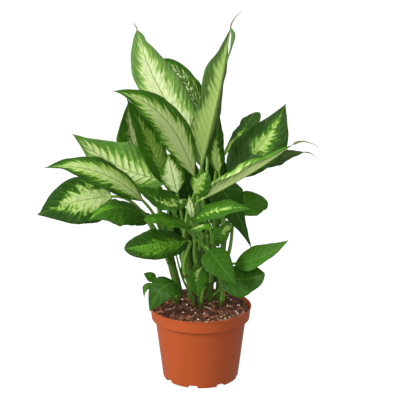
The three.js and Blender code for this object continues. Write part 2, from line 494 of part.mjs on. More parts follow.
function leafSkin(leaf) {
  const stem = STEMS[leaf.stem];
  const seat = stemAt(stem, leaf.node);
  const curve = midrib(leaf);
  const base = vector(leaf.base);
  const [thick, thin] = leaf.stalk ?? (leaf.width > 48 ? [3.2, 2.1] : [2.7, 1.8]);
  const outward = base.clone().sub(seat.centre).projectOnPlane(seat.along).normalize();
  if (leaf.leaves) outward.copy(vector([...leaf.leaves, 0])).projectOnPlane(seat.along).normalize();
  const root = seat.centre.clone().addScaledVector(outward, seatDistance(seat, outward, thick));
  const reach = root.distanceTo(base);
  const rise = seat.along.clone().addScaledVector(outward, 0.25).normalize();
  const arrive = curve.getTangent(0).normalize();
  const stalkCurve = new THREE.CubicBezierCurve3(
    root, root.clone().addScaledVector(rise, reach * 0.45),
    base.clone().addScaledVector(arrive, -reach * (leaf.neck ?? 0.3)), base,
  );
  const first = bladeFrame(leaf, curve, 0);
  const rings = PETIOLE_STEPS.map((t) => {
    const centre = stalkCurve.getPoint(t);
    const along = stalkCurve.getTangent(t).normalize();
    const normal = outward.clone().multiplyScalar(-(1 - t)).addScaledVector(first.normal, t);
    normal.projectOnPlane(along).normalize();
    return stalkRing({ centre, normal, across: along.clone().cross(normal) }, mix(thick, thin, t ** 0.6));
  });
  for (const s of leaf.width > 40 ? LARGE_STEPS : SMALL_STEPS) {
    const frame = bladeFrame(leaf, curve, s);
    rings.push(s === 0 ? stalkRing(frame, thin) : bladeRing(leaf, frame, s, thin));
  }
  if (leaf.tail) rings.push(...tailRings(leaf, curve));
  return loft(rings);
}

// A withered point that runs on from the tip.
function tailRings(leaf, curve) {
  const [tip, end] = [vector(leaf.tip), vector(leaf.tail)];
  const along = curve.getTangent(1).normalize();
  const bend = tip.clone().addScaledVector(along, tip.distanceTo(end) * 0.5);
  const tail = new THREE.QuadraticBezierCurve3(tip, bend, end);
  return TAIL_STEPS.map((t) => {
    const frame = bladeFrame(leaf, curve, 1);
    frame.centre.copy(tail.getPoint(t));
    return bladeRing({ ...leaf, fold: leaf.fold * (1 - t) }, frame, 1, TAIL_HALF_WIDTH);
  });
}

const plant = new THREE.Group();
plant.add(pot(), soil(STEMS));
for (const [name, stem] of Object.entries(STEMS)) {
  plant.add(named(`stem_${name}`, stemSkin(stem, 0), FINISH.stem));
}
for (const leaf of LEAVES) {
  plant.add(named(`leaf_${leaf.name}`, leafSkin(leaf), FINISH[leaf.finish ?? 'variegated']));
}

export default plant;
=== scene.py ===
"""Potted dieffenbachia: how the pot, the potting mix, the canes and the leaves look."""
import math
import random
from dataclasses import dataclass
from functools import partial
from types import SimpleNamespace

import bmesh
import bpy
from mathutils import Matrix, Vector, noise


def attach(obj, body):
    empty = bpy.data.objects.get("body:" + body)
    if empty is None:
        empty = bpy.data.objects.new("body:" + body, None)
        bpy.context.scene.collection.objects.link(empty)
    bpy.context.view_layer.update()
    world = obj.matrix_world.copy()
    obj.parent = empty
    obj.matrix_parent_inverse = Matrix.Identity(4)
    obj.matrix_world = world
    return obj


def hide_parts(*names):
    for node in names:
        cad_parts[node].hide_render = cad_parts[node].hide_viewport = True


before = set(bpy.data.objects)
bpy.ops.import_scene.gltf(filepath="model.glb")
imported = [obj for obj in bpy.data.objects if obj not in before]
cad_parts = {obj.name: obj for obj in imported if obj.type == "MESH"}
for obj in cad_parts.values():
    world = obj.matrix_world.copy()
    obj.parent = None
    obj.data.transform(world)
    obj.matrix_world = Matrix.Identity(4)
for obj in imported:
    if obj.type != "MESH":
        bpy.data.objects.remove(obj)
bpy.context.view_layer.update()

MM = 0.001
FULL_TURN = 2 * math.pi

# Pot, in millimetres, as the frame has it
RIM_RADIUS = 77.5
POT_HEIGHT = 114
BASE_RADIUS = 57.5
WALL = 1.8
FLOOR = 3
BAND_HEIGHT = 21
BAND_FOOT = POT_HEIGHT - BAND_HEIGHT
BAND_RADIUS = 74.7
# Inside, the wall steps out over this height
INNER_STEP = 5
BODY_TOP_RADIUS = 68.9
FOOT_ROUNDING = 3
BAND_ROUNDING = 1.7
LIP_ROUNDING = 0.9
NOTCHES = 8
# The first notch is turned from +X by this share of their spacing
NOTCH_SHIFT = 0.73
NOTCH_WIDTH = 15
NOTCH_DEPTH = 16
NOTCH_HEIGHT = 5
NOTCH_ROUNDING = 2
POT_SIDES = 160
# A turned profile stops this far from the axis, where a flat face closes it
CLOSING_RADIUS = 1

# Potting mix
SOIL_EDGE = 107
MOUND = {"x": 0, "y": 22, "rise": 6, "spread": 32}
SOIL_SIDES = 144
SOIL_RINGS = 50
PERLITE_COUNT = 80
BARK_COUNT = 560
GRAIN_SHAPES = 3
GRAIN_OFF_WALL = 3
GRAIN_OFF_CANE = 7
GRAIN_TILT = 0.6

# Canes
CANE_SIDES = 20
CANE_STEPS = 60
# Facets of a cane in the CAD model, which the stalks stand against
CANE_FACETS = 8
NODE_SPACING = 15
THREAD_SIDES = 10
THREAD_STEPS = 24

# Leaf blades and stalks
BLADE_THICKNESS = 0.55
EDGE_THICKNESS = 0.25
RIB_DEPTH = 2.2
GROOVE_DEPTH = 0.45
QUILT_DEPTH = 0.22
LUMP_HEIGHT = 0.8
MARGIN_UNEVENNESS = 0.05
TAIL_HALF_WIDTH = 0.6
ACROSS_COUNT = 23
STALK_STEPS = 14
BLADE_STEPS = 72
TAIL_STEPS = 10
VEIN_SPACING = 12
# Each leaf's pattern starts this many veins further on
PATTERN_SHIFT = 31
# A leaf wider than this has the thicker stalk
BROAD_LEAF = 48
# Clearance between pieces, as in the frame
CLEAR = 0.3

# Canes: the points each passes from its foot to its tip, and its radius at foot and tip
CANES = {
    "left": ([(-30, 42, 62), (-34, 41, 118), (-45.5, 33, 175), (-53, 26, 226)], (7, 6.2)),
    "left_thin": ([(-8, 6, 66), (-11, 7, 116), (-24, 9, 165), (-34, 12, 205)], (3.6, 2.8)),
    "centre_left": ([(-13, 30, 60), (-15, 30, 118), (-18, 28, 175), (-21, 24, 234)], (5.6, 4)),
    "centre": ([(1, 44, 60), (0, 43, 118), (-2, 39, 185), (-4, 32, 262)], (5.6, 4)),
    "centre_front": ([(1, 7, 60), (1, 7, 118), (-3, 0, 170), (-9, -10, 214)], (4.6, 3.4)),
    "centre_right": ([(13, 19, 60), (13, 19, 118), (13, 9, 170), (10, -5, 228)], (5, 3.8)),
    "right": ([(27, 30, 60), (27, 30, 118), (32, 28, 175), (40, 24, 240)], (5.6, 4)),
    "right_inner": ([(16, 45, 60), (16, 44, 118), (19, 42, 175), (23, 38, 232)], (4.6, 3.6)),
    "low_right": ([(31, 10, 70), (32, 10, 114), (34, 4, 138)], (4, 3.2)),
    "low_front": ([(0, -8, 70), (-1, -9, 112), (-1, -14, 130)], (3.4, 2.8)),
    "low_left": ([(-34, 16, 70), (-35, 15, 112), (-38, 8, 128)], (3.6, 2.8)),
}


@dataclass
class Leaf:
    """A leaf's shape and look. Lengths are in millimetres, angles in degrees.

    The stalk leaves the cane at the height node. base, mid and tip are points of the midrib, and face is
    the way the upper side looks. trim and pale have rows of a share of the length and two shares of the
    half width, first for the half towards q = -1.
    """
    cane: str
    node: float
    base: tuple
    mid: tuple
    tip: tuple
    width: float
    face: tuple
    # How far each half is folded up at the midrib and turned over towards its edge
    fold: float = 8
    curl: float = -14
    # Height of the ripple along the edge
    wave: float = 2
    # Share of the length where the blade is widest, and how slender its point is
    belly: float = 0.36
    tip_power: float = 1.05
    # Share of the stalk that runs in line with the midrib, and its radius at the cane and at the blade
    neck: float = 0.3
    stalk: tuple = None
    # Direction in x and y in which the stalk leaves the cane, where that isn't towards the base
    leaves: tuple = None
    # Where a withered point ends, and its radius at the tip of the blade
    tail: tuple = None
    tail_start: float = 1.2
    # How far the margins are drawn in or out, and how far the cream zone reaches
    trim: tuple = ((0, 1, 1), (1, 1, 1))
    pale: tuple = ((0, -0.6, -0.6), (1, -0.6, -0.6))
    # How far the zone's edge breaks up
    ragged: float = 0.3
    # 0 for a yellow-green zone and 1 for a cream one, below 0 leaf green and above 1 nearly white, a painted
    # light that lifts leaves lying in shade
    cream: float = 0.3
    # 0 for dark green and 1 for bright, below 0 olive and above 0.9 bleached
    tone: float = 0.3
    # How gradual the zone's edge is, how speckled the zone is and how green its veins are
    soft: float = 0
    fleck: float = 0
    veiny: float = 0.3


LEAVES = {
    # Crown
    "crown_left": Leaf(
        "centre", 250, (-8, 10, 365), (-64, 22, 451), (-94, 42, 530), 70, (0.1, -1, 0.3), wave=1.5,
        tail=(-100, 44, 538),
        trim=[(0, 1, 1), (0.3, 0.88, 1), (0.48, 0.8, 1), (0.66, 1.06, 1), (0.8, 1.17, 0.97),
              (0.88, 1.15, 0.84), (0.95, 1.3, 1.4), (1, 1, 1)],
        pale=[(0, 0.8, 0.9), (0.15, 0.8, 0.8), (0.3, 0.78, 0.62), (0.45, 0.78, 0.6), (0.65, 0.68, 0.58),
              (0.8, 0.45, 0.42), (0.93, 0.2, 0.2), (1, -0.1, -0.1)],
        ragged=0.45, cream=1, tone=1.2, soft=1, fleck=0.2, veiny=0.05),
    "crown_back": Leaf(
        "centre", 222, (0, 44, 350), (-17, 55, 437), (-62, 72, 480), 50, (0.3, -1, 0.4), curl=-20,
        leaves=(0.6, 1),
        trim=[(0, 1, 1), (0.35, 1, 0.85), (0.6, 1, 0.8), (0.8, 1, 1), (0.92, 1, 1.3), (1, 1, 1)],
        pale=[(0, 0.9, 0.5), (0.6, 0.9, 0.55), (0.85, 0.5, 0.3), (1, -0.4, -0.4)],
        ragged=0.6, cream=1.7, tone=0.4, fleck=1),
    "crown_right": Leaf(
        "centre", 236, (1, -16, 336), (25, -22, 440), (43, -12, 540), 60, (-0.6, 0.8, 0), fold=40,
        curl=-10, leaves=(0.8, -0.6), tail=(58, -10, 563),
        trim=[(0, 1, 1), (0.15, 1.1, 1.05), (0.5, 0.85, 0.92), (0.6, 0.85, 1.08), (0.68, 0.82, 1.2),
              (0.75, 0.68, 1.2), (0.83, 0.4, 1), (0.92, 0.25, 1), (1, 1, 1)],
        pale=[(0, -0.2, 0.1), (0.12, 0.25, 0.5), (0.22, 0.5, 0.9), (0.35, 0.55, 0.9), (0.45, 0.55, 0.7),
              (0.58, 0.55, 0.5), (0.8, 0.5, 0.45), (0.92, 0.2, 0.2), (1, -0.2, -0.2)],
        ragged=0.45, cream=0.12, soft=0.6),
    # Left side, from the top down
    "left_arching": Leaf(
        "centre_left", 222, (-10, -26, 325), (-53, -60, 419), (-123, -80, 462), 54, (0.25, -0.8, 0.6),
        curl=-22, belly=0.4, tip_power=1.2,
        trim=[(0, 1, 1), (0.7, 1, 1.05), (0.85, 0.85, 1.15), (0.95, 0.7, 1.3), (1, 1, 1)],
        pale=[(0, 0.95, 0.8), (0.3, 0.88, 0.62), (0.6, 0.72, 0.46), (0.8, 0.5, 0.28), (0.92, 0.15, 0),
              (1, -0.3, -0.3)],
        ragged=0.55, cream=0.45, tone=0.35, veiny=0.15),
    "left_narrow": Leaf(
        "left_thin", 198, (-51, -5, 308), (-79, -14, 376), (-107, -20, 438), 46, (0.6, -0.7, 0.3), fold=12,
        curl=-10, leaves=(-1, 0.2),
        pale=[(0, 0.2, 0.8), (0.35, 0.25, 0.8), (0.6, 0, 0.45), (0.75, -0.2, 0.1), (1, -0.5, -0.5)],
        ragged=0.6, cream=0, tone=0.5, fleck=0.5),
    "left_rear": Leaf(
        "centre_left", 206, (-79, 62, 291), (-104, 60, 353), (-109, 51, 416), 56, (0.5, -0.8, 0.2),
        fold=12, curl=-10, leaves=(-0.6, 1),
        trim=[(0, 1, 1), (0.35, 1.03, 1), (0.6, 1.14, 1), (0.85, 1.1, 1), (1, 1, 1)],
        pale=[(0, 0.2, 0.8), (0.3, 0.25, 0.85), (0.8, 0.2, 0.7), (1, 0, 0)],
        ragged=0.6, cream=0.8, tone=0.7),
    "left_high": Leaf(
        "left", 218, (-50, 5, 309), (-121, 5, 330), (-189, 0, 381), 76, (0, -0.75, 0.65), fold=16, curl=-8,
        belly=0.4, tip_power=1.2,
        trim=[(0, 1, 1), (0.55, 1, 1.04), (0.8, 0.9, 1.03), (0.9, 0.72, 1), (0.97, 0.8, 1.3), (1, 1, 1)],
        pale=[(0, -0.2, -0.1), (0.12, 0.15, 0.25), (0.25, 0.5, 0.45), (0.45, 0.75, 0.45),
              (0.7, 0.78, 0.42), (0.8, 0.7, 0.4), (0.92, 0.3, 0.2), (1, -0.2, -0.2)],
        ragged=0.45, cream=0.65, tone=1.1, veiny=1),
    "left_middle": Leaf(
        "left", 205, (-84, -30, 286), (-147, -60, 338), (-223, -80, 350), 50, (0.1, -0.65, 0.75), curl=-20,
        wave=2.5, belly=0.42, tip_power=1.3,
        trim=[(0, 1, 1), (0.55, 1, 1.05), (0.75, 0.9, 1.2), (0.87, 0.5, 1.4), (0.95, 0.45, 1.45),
              (1, 1, 1)],
        pale=[(0, 0.7, 0.7), (0.3, 0.6, 0.6), (0.6, 0.5, 0.52), (0.8, 0.4, 0.42), (0.9, 0.15, 0.2),
              (0.97, -0.2, -0.2), (1, -0.4, -0.4)],
        ragged=0.45, cream=0.4, tone=0.15, veiny=0.15),
    "left_low": Leaf(
        "left", 190, (-132, -10, 288), (-187, -25, 283), (-240, -40, 268), 74, (0, -0.85, 0.5), fold=5,
        wave=1.5, leaves=(-1, -0.2),
        trim=[(0, 1, 1), (0.12, 1.12, 1), (0.3, 1, 1), (0.5, 1, 1.05), (0.8, 1, 1.05), (0.9, 1, 0.9),
              (0.96, 0.95, 0.55), (1, 1, 1)],
        pale=[(0, 0.6, 0.6), (0.25, 0.6, 0.58), (0.45, 0.5, 0.5), (0.62, 0.24, 0.25), (0.74, 0, 0.02),
              (0.83, -0.3, -0.2), (1, -0.5, -0.5)],
        ragged=0.65, cream=0.5, tone=0, fleck=0.25, veiny=0.15),
    "left_bright": Leaf(
        "left", 174, (-81, -30, 260), (-121, -60, 285), (-162, -75, 270), 50, (0, -0.6, 0.8), fold=-4,
        curl=-26,
        trim=[(0, 1, 1), (0.25, 1, 0.95), (0.5, 1.25, 0.92), (0.75, 1.3, 0.95), (1, 1, 1)],
        pale=[(0, -0.4, -0.4), (0.5, -0.3, -0.1), (0.8, -0.2, 0.7), (0.95, -0.1, 0.7), (1, -0.3, 0.2)],
        ragged=0.5, cream=-0.5, fleck=0.4),
    "left_hidden": Leaf(
        "left", 200, (-70, 38, 238), (-104, 52, 241), (-134, 66, 232), 44, (0, -0.5, 0.85), wave=1.5,
        leaves=(-0.8, 0.7),
        trim=[(0, 1, 0.4), (0.25, 1, 0.45), (0.5, 1, 0.9), (1, 1, 1)]),
    # Middle, facing front
    "heart_pale": Leaf(
        "centre_left", 214, (-35, -29, 300), (-41, -43, 332), (-47, -56, 365), 42, (0.15, -0.9, 0.45),
        fold=10, curl=-18, wave=1, belly=0.42, leaves=(-0.4, -1),
        trim=[(0, 0.9, 1), (0.35, 0.86, 0.9), (0.55, 1, 0.85), (0.8, 1, 0.8), (1, 1, 1)],
        pale=[(0, 0.8, 0.75), (0.5, 0.85, 0.7), (0.8, 0.6, 0.5), (1, 0.2, 0.1)],
        cream=1.5, tone=0.4, veiny=0.15),
    "front_dark": Leaf(
        "left_thin", 178, (-28, -39, 290), (-58, -66, 297), (-92, -73, 321), 50, (0.1, -0.5, 0.85),
        fold=24, curl=-10, leaves=(0.5, -1),
        trim=[(0, 1, 0.95), (0.4, 1.1, 0.9), (0.75, 1.4, 1), (0.92, 1.2, 1), (1, 1, 1)],
        pale=[(0, 0.35, 0.05), (0.4, 0.35, 0.05), (0.7, 0, -0.2), (1, -0.5, -0.5)],
        ragged=0.9, cream=0.4, tone=0.25),
    "front_flat": Leaf(
        "centre_front", 184, (-16, -44, 252), (-50, -75, 270), (-82, -88, 275), 38, (0.1, -0.35, 0.95),
        fold=12, curl=-16, wave=1.5, tip_power=0.75, leaves=(-0.4, -1),
        pale=[(0, 0.3, 0.2), (0.5, 0.4, 0.2), (0.8, 0.3, 0.2), (1, -0.4, -0.4)],
        ragged=0.8, cream=-0.5, tone=0.65, fleck=0.5),
    "front_oval": Leaf(
        "left_thin", 160, (-20, -40, 228), (-65, -79, 236), (-110, -95, 233), 50, (0, -0.75, 0.65), fold=4,
        wave=1.5, belly=0.48, tip_power=0.62, leaves=(0, -1),
        trim=[(0, 1, 1), (0.45, 1, 1), (0.7, 1, 0.88), (0.85, 1, 0.85), (1, 1, 1)],
        pale=[(0, 0, -0.4), (0.2, 0.5, 0.1), (0.7, 0.6, 0), (0.9, 0.1, -0.4), (1, -0.5, -0.5)],
        ragged=0.5, cream=-0.4, tone=0.05, fleck=0.8),
    "new_rolled": Leaf(
        "centre_front", 202, (-12, -59, 271), (-14, -67, 288), (-17, -69, 306), 14, (0, -1, 0.2), fold=10,
        curl=-30, wave=0.5, stalk=(2.2, 1.3), leaves=(1, -0.3),
        pale=[(0, 0.9, 0.8), (0.7, 0.9, 0.7), (1, 0.4, 0.4)],
        ragged=0.5, cream=1, tone=0.6),
    "front_right": Leaf(
        "centre_right", 190, (-12, -60, 265), (28, -82, 290), (71, -96, 293), 34, (-0.1, -0.55, 0.8),
        curl=-18, wave=1.5, belly=0.42, neck=0.12, leaves=(-0.3, -1),
        pale=[(0, -0.3, -0.1), (0.22, -0.15, 0.08), (0.4, 0, 0.22), (0.65, 0.04, 0.24), (0.8, -0.1, 0.05),
              (0.9, -0.3, -0.2), (1, -0.4, -0.4)],
        ragged=0.7, cream=0.35, tone=0.35),
    "front_small": Leaf(
        "centre_right", 172, (-10, -66, 255), (4, -80, 262), (18, -90, 262), 22, (0, -0.45, 0.9), fold=10,
        curl=-12, wave=1, stalk=(2.6, 1.6), leaves=(0.4, -1),
        pale=[(0, 0.4, 0.4), (0.4, 0.35, 0.35), (0.65, 0, 0), (1, -0.4, -0.4)],
        ragged=0.6, cream=0.7, tone=0.8),
    # Right side
    "right_long": Leaf(
        "centre_right", 212, (0, -40, 292), (67, -60, 333), (131, -76, 383), 48, (-0.3, 0, 0.95), fold=48,
        curl=-10, leaves=(0.9, -0.5), tail=(169, -80, 380), tail_start=2.2,
        pale=[(0, 0.9, 0.85), (0.5, 0.85, 0.9), (0.8, 0.5, 0.8), (0.95, 0.2, 0.5), (1, -0.2, 0.2)],
        ragged=0.5, cream=1, tone=0.85),
    "centre_mottled": Leaf(
        "centre_right", 220, (-8, -48, 304), (2, -57, 322), (11, -57, 341), 34, (-0.1, -0.9, 0.4), fold=12,
        wave=1, stalk=(2.4, 1.4), leaves=(-1, -0.2),
        pale=[(0, 0.7, 0.25), (0.5, 0.7, 0.15), (1, 0.3, 0)],
        ragged=0.6, cream=0.2, tone=0.15, fleck=0.5),
    "right_broad": Leaf(
        "right", 232, (41, 10, 318), (87, 10, 358), (125, 5, 425), 70, (-0.3, -0.85, 0.35), fold=6,
        curl=-12, wave=3,
        trim=[(0, 1, 0.6), (0.3, 1, 0.74), (0.5, 1, 1.1), (0.68, 1, 1.38), (0.8, 0.97, 1.5),
              (0.92, 1, 1.35), (1, 1, 1)],
        pale=[(0, -0.5, -0.5), (0.36, -0.3, -0.3), (0.44, 0.18, 0.2), (0.55, 0.28, 0.3), (0.7, 0.2, 0.25),
              (0.85, 0.03, 0.12), (0.92, -0.2, -0.15), (1, -0.5, -0.5)],
        ragged=0.38, cream=0.2, tone=-0.05),
    "right_rear": Leaf(
        "right_inner", 224, (34, 46, 336), (66, 64, 374), (82.5, 96, 392), 38, (-0.4, -0.4, 0.8), curl=-10,
        wave=1.5, belly=0.6, tip_power=0.62, leaves=(0, 1),
        trim=[(0, 1.3, 1), (0.3, 0.88, 1.1), (0.6, 0.76, 1.05), (1, 0.92, 1)],
        pale=[(0, 0.5, 0.7), (0.3, 0.25, 0.5), (0.45, -0.1, 0), (0.6, -0.5, -0.5), (1, -0.5, -0.5)],
        ragged=0.8, cream=0, tone=-0.05),
    "right_tipped": Leaf(
        "right", 214, (58, 45, 302), (109, 60, 326), (158, 65, 337), 46, (0, -0.4, 0.9), curl=-10,
        leaves=(0.6, 1), tail=(175, 66, 329),
        trim=[(0, 1, 0.6), (0.4, 1, 0.7), (0.6, 1, 0.85), (0.8, 1, 0.95), (1, 1, 1)],
        tone=-0.1),
    "centre_dark": Leaf(
        "right_inner", 208, (27, 16, 320), (24, 26, 361), (27, 45, 404), 36, (0.5, -0.8, 0.3), fold=10,
        curl=-10, wave=1.5, leaves=(1, -0.2),
        trim=[(0, 1, 0.9), (0.3, 1, 0.7), (0.6, 1, 0.75), (1, 1, 1)],
        pale=[(0, 0.7, 0.5), (0.3, 0.6, 0.4), (0.5, 0.25, 0), (0.65, -0.3, -0.4), (1, -0.5, -0.5)],
        ragged=0.35, cream=0.2, tone=0.05),
    "right_drooping": Leaf(
        "right_inner", 196, (22, -2, 304), (46, -22, 280), (75, -30, 215), 56, (0.3, -0.7, 0.5), neck=0.1,
        leaves=(0, -1),
        trim=[(0, 1, 1), (0.4, 0.95, 1), (0.6, 0.7, 0.9), (0.8, 0.44, 0.75), (0.92, 0.45, 0.7), (1, 1, 1)],
        tone=0.05),
    "right_round": Leaf(
        "right", 174, (52, 34, 249.5), (75, 55, 260), (96, 80, 262.5), 50, (-0.4, -0.8, 0.4), fold=6,
        curl=-12, wave=1.5, belly=0.55, tip_power=0.5, neck=0.1, leaves=(1, 0.3),
        trim=[(0, 0.7, 1.2), (0.35, 0.85, 1.15), (0.6, 1, 1.05), (1, 1, 1)],
        tone=0.55),
    "inner_pale": Leaf(
        "right_inner", 160, (20, 5, 211), (32, 10, 224), (50, 10, 239), 28, (-0.3, -0.8, 0.4), fold=10,
        curl=-10, wave=1, leaves=(0.1, -1),
        pale=[(0, -0.4, -0.4), (0.4, -0.3, -0.2), (0.55, 0.25, 0.3), (0.85, 0.5, 0.4), (1, 0, 0)],
        ragged=0.5, tone=0.6),
    # Back, out of the front view
    "back_high": Leaf(
        "centre", 206, (6, 92, 342), (-20, 128, 380), (-46, 168, 370), 58, (0, 0.3, 1), curl=-12,
        leaves=(-0.1, 1),
        pale=[(0, 0.5, 0.45), (0.3, 0.6, 0.55), (0.6, 0.5, 0.45), (0.85, 0.1, 0.05), (1, -0.4, -0.4)],
        ragged=0.6, cream=0.7),
    "back_left": Leaf(
        "left", 182, (-76, 86, 275), (-100, 120, 300), (-130, 155, 288), 58, (0, 0.2, 1), curl=-12,
        leaves=(-0.3, 1),
        pale=[(0, 0.45, 0.45), (0.3, 0.5, 0.55), (0.6, 0.4, 0.45), (0.85, 0.1, 0.05), (1, -0.4, -0.4)],
        ragged=0.7, cream=0.6),
    "back_right": Leaf(
        "right_inner", 194, (54, 80, 288), (80, 114, 311), (100, 150, 292), 56, (0, 0.2, 1), curl=-12,
        leaves=(0.8, 0.5),
        pale=[(0, 0.5, 0.4), (0.3, 0.55, 0.45), (0.6, 0.45, 0.4), (0.85, 0.1, 0.05), (1, -0.4, -0.4)],
        ragged=0.6, cream=0.8),
    "back_low": Leaf(
        "centre_left", 146, (-8, 60, 160), (-8, 78, 202), (-8, 84, 240), 62, (0, -1, 0.4), belly=0.42,
        tip_power=0.9, leaves=(0.1, 1), tone=0),
    "back_young": Leaf(
        "right_inner", 120, (6, 64, 120), (2, 76, 152), (-4, 88, 190), 68, (0, -1, 0.4), belly=0.45,
        tip_power=0.8, leaves=(-0.4, 1), tone=0),
    "inner_left": Leaf(
        "centre", 190, (-11, 60, 256), (-28, 68, 306), (-34, 74, 358), 54, (0.1, -1, 0.3),
        leaves=(-1, 0.7),
        pale=[(0, -0.5, -0.5), (1, -0.5, -0.5)],
        ragged=0.9, cream=0.1, tone=0),
    "inner_right": Leaf(
        "centre", 176, (18, 88, 236), (21, 100, 290), (18, 108, 346), 52, (0, -1, 0.2), leaves=(0.3, 1),
        tone=0),
    "inner_low": Leaf(
        "centre_left", 170, (-25, 56, 206), (-35, 62, 236), (-48, 62, 266), 40, (0, -1, 0.3),
        leaves=(-0.6, 1), tone=0),
    # Low leaves of the young shoots
    "low_right_pointed": Leaf(
        "right", 150, (52, -31, 190), (90, -55, 208), (128, -64, 237), 38, (-0.2, -0.75, 0.65), wave=1,
        leaves=(0.8, -1),
        trim=[(0, 1.3, 0.85), (0.25, 1.18, 0.85), (0.6, 1.12, 0.5), (1, 1, 0.7)],
        tone=0.45),
    "low_right_heart": Leaf(
        "low_right", 122, (34, -26, 170), (63, -37, 167), (95, -47, 180), 54, (0, -0.85, 0.55), fold=4,
        belly=0.46, tip_power=0.7, leaves=(0.2, -1),
        trim=[(0, 1, 1), (0.5, 1, 1), (0.75, 1.1, 0.84), (1, 1, 0.9)],
        tone=0.25),
    "low_front_heart": Leaf(
        "centre_right", 148, (12, -46, 216), (30, -65, 197), (53, -76, 172), 43, (-0.1, -0.7, 0.7), fold=4,
        curl=-12, wave=1, belly=0.3, leaves=(0.3, -1)),
    "low_front_small": Leaf(
        "low_front", 124, (2, -44, 188), (-5, -53, 170), (-3, -60, 147), 32, (0.4, -0.8, 0.4), fold=14,
        curl=-10, wave=0.5, stalk=(2.4, 1.5), leaves=(0.3, -1),
        pale=[(0, -0.1, 0.4), (0.35, -0.1, 0.35), (0.6, -0.3, 0), (1, -0.5, -0.5)],
        ragged=0.5, cream=0.7, tone=0.45),
    "low_left_rim": Leaf(
        "low_left", 124, (-35, -20, 154), (-57, -44, 156), (-76, -43, 119), 48, (-0.3, -0.7, 0.6), fold=4,
        curl=-12, wave=1, belly=0.4, tip_power=0.9, leaves=(0.2, -1),
        trim=[(0, 1, 0.9), (0.25, 1, 0.86), (0.55, 1, 0.88), (0.85, 1, 1.05), (1, 1, 1)],
        tone=0.1),
    "low_left_tiny": Leaf(
        "low_left", 116, (-68, -3, 155), (-77, -4, 161), (-86, -5, 166), 15, (-0.2, -0.8, 0.5), curl=-10,
        wave=0.5, neck=0.1, stalk=(2, 1.2), leaves=(-1, 0.2), tone=0.4),
    "low_left_curl": Leaf(
        "low_left", 113, (-71, -12, 147), (-82, -14, 146), (-85, -14, 131), 12, (-0.6, -0.7, 0.4), fold=20,
        curl=-10, wave=0.5, neck=0.1, stalk=(1.8, 1.1), leaves=(-1, -0.8), tone=0.4),
}


def mix(a, b, t):
    return a + (b - a) * t


def smooth(low, high, x):
    """0 below low, 1 above high and a soft step between them."""
    t = min(1, max(0, (x - low) / (high - low)))
    return t * t * (3 - 2 * t)


def row_at(rows, s):
    """The two values of a table of rows (share of the length, value, value) at s."""
    for (start, *before), (end, *after) in zip(rows, rows[1:]):
        if s <= end:
            break
    t = min(1, (s - start) / (end - start))
    return [mix(a, b, t) for a, b in zip(before, after)]


def across_to(vector, along):
    """The part of a vector that is square to a direction."""
    return (vector - along * vector.dot(along)).normalized()


# Modelling helpers

def deselect():
    if bpy.context.object and bpy.context.object.mode != "OBJECT":
        bpy.ops.object.mode_set(mode="OBJECT")
    bpy.ops.object.select_all(action="DESELECT")


def choose(piece):
    """Leaves only this piece selected."""
    deselect()
    piece.select_set(True)
    bpy.context.view_layer.objects.active = piece


def copied(blank, name):
    """A copy of an object with its own mesh."""
    piece = blank.copy()
    piece.data = blank.data.copy()
    piece.name = name
    piece.data.name = name
    bpy.context.scene.collection.objects.link(piece)
    return piece


def settle(piece, slot, *nodes):
    """The piece rides on the one body and stands for its nodes, which it hides. The slot is not used."""
    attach(piece, "root")
    if nodes:
        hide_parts(*nodes)


def stored(piece, name, values):
    """Keeps a number or a vector on each vertex. It is filled at once, before the next is made."""
    if isinstance(values[0], tuple):
        kept = piece.data.attributes.new(name, "FLOAT_VECTOR", "POINT")
        kept.data.foreach_set("vector", [part for value in values for part in value])
    else:
        kept = piece.data.attributes.new(name, "FLOAT", "POINT")
        kept.data.foreach_set("value", values)


class Tube:
    """A straight closed tube that is cut across into equal steps, as a blank for what is bent and spread."""

    def __init__(self, sides, steps):
        deselect()
        bpy.ops.mesh.primitive_cylinder_add(vertices=sides, radius=0.5, depth=1)
        self.blank = bpy.context.object
        bpy.ops.object.mode_set(mode="EDIT")
        bpy.ops.mesh.select_mode(type="EDGE")
        bpy.ops.mesh.select_all(action="DESELECT")
        shape = bmesh.from_edit_mesh(self.blank.data)
        for edge in shape.edges:
            low, high = (v.co.z for v in edge.verts)
            edge.select_set(abs(high - low) > 0.5)
        bmesh.update_edit_mesh(self.blank.data)
        bpy.ops.mesh.subdivide(number_cuts=steps - 1)
        bpy.ops.object.mode_set(mode="OBJECT")
        bpy.ops.object.shade_smooth()
        # For each vertex its ring, and its place round the ring, anticlockwise from +Y
        self.places = []
        for vertex in self.blank.data.vertices:
            x, y, z = vertex.co
            turn = math.atan2(y, x) - math.pi / 2
            self.places.append((round((z + 0.5) * steps), round(turn / (FULL_TURN / sides)) % sides))

    def laid(self, name, rings):
        """A copy of the tube whose vertices lie on the rings, given in millimetres."""
        piece = copied(self.blank, name)
        for vertex, (i, k) in zip(piece.data.vertices, self.places):
            vertex.co = rings[i][k] * MM
        piece.data.update()
        return piece


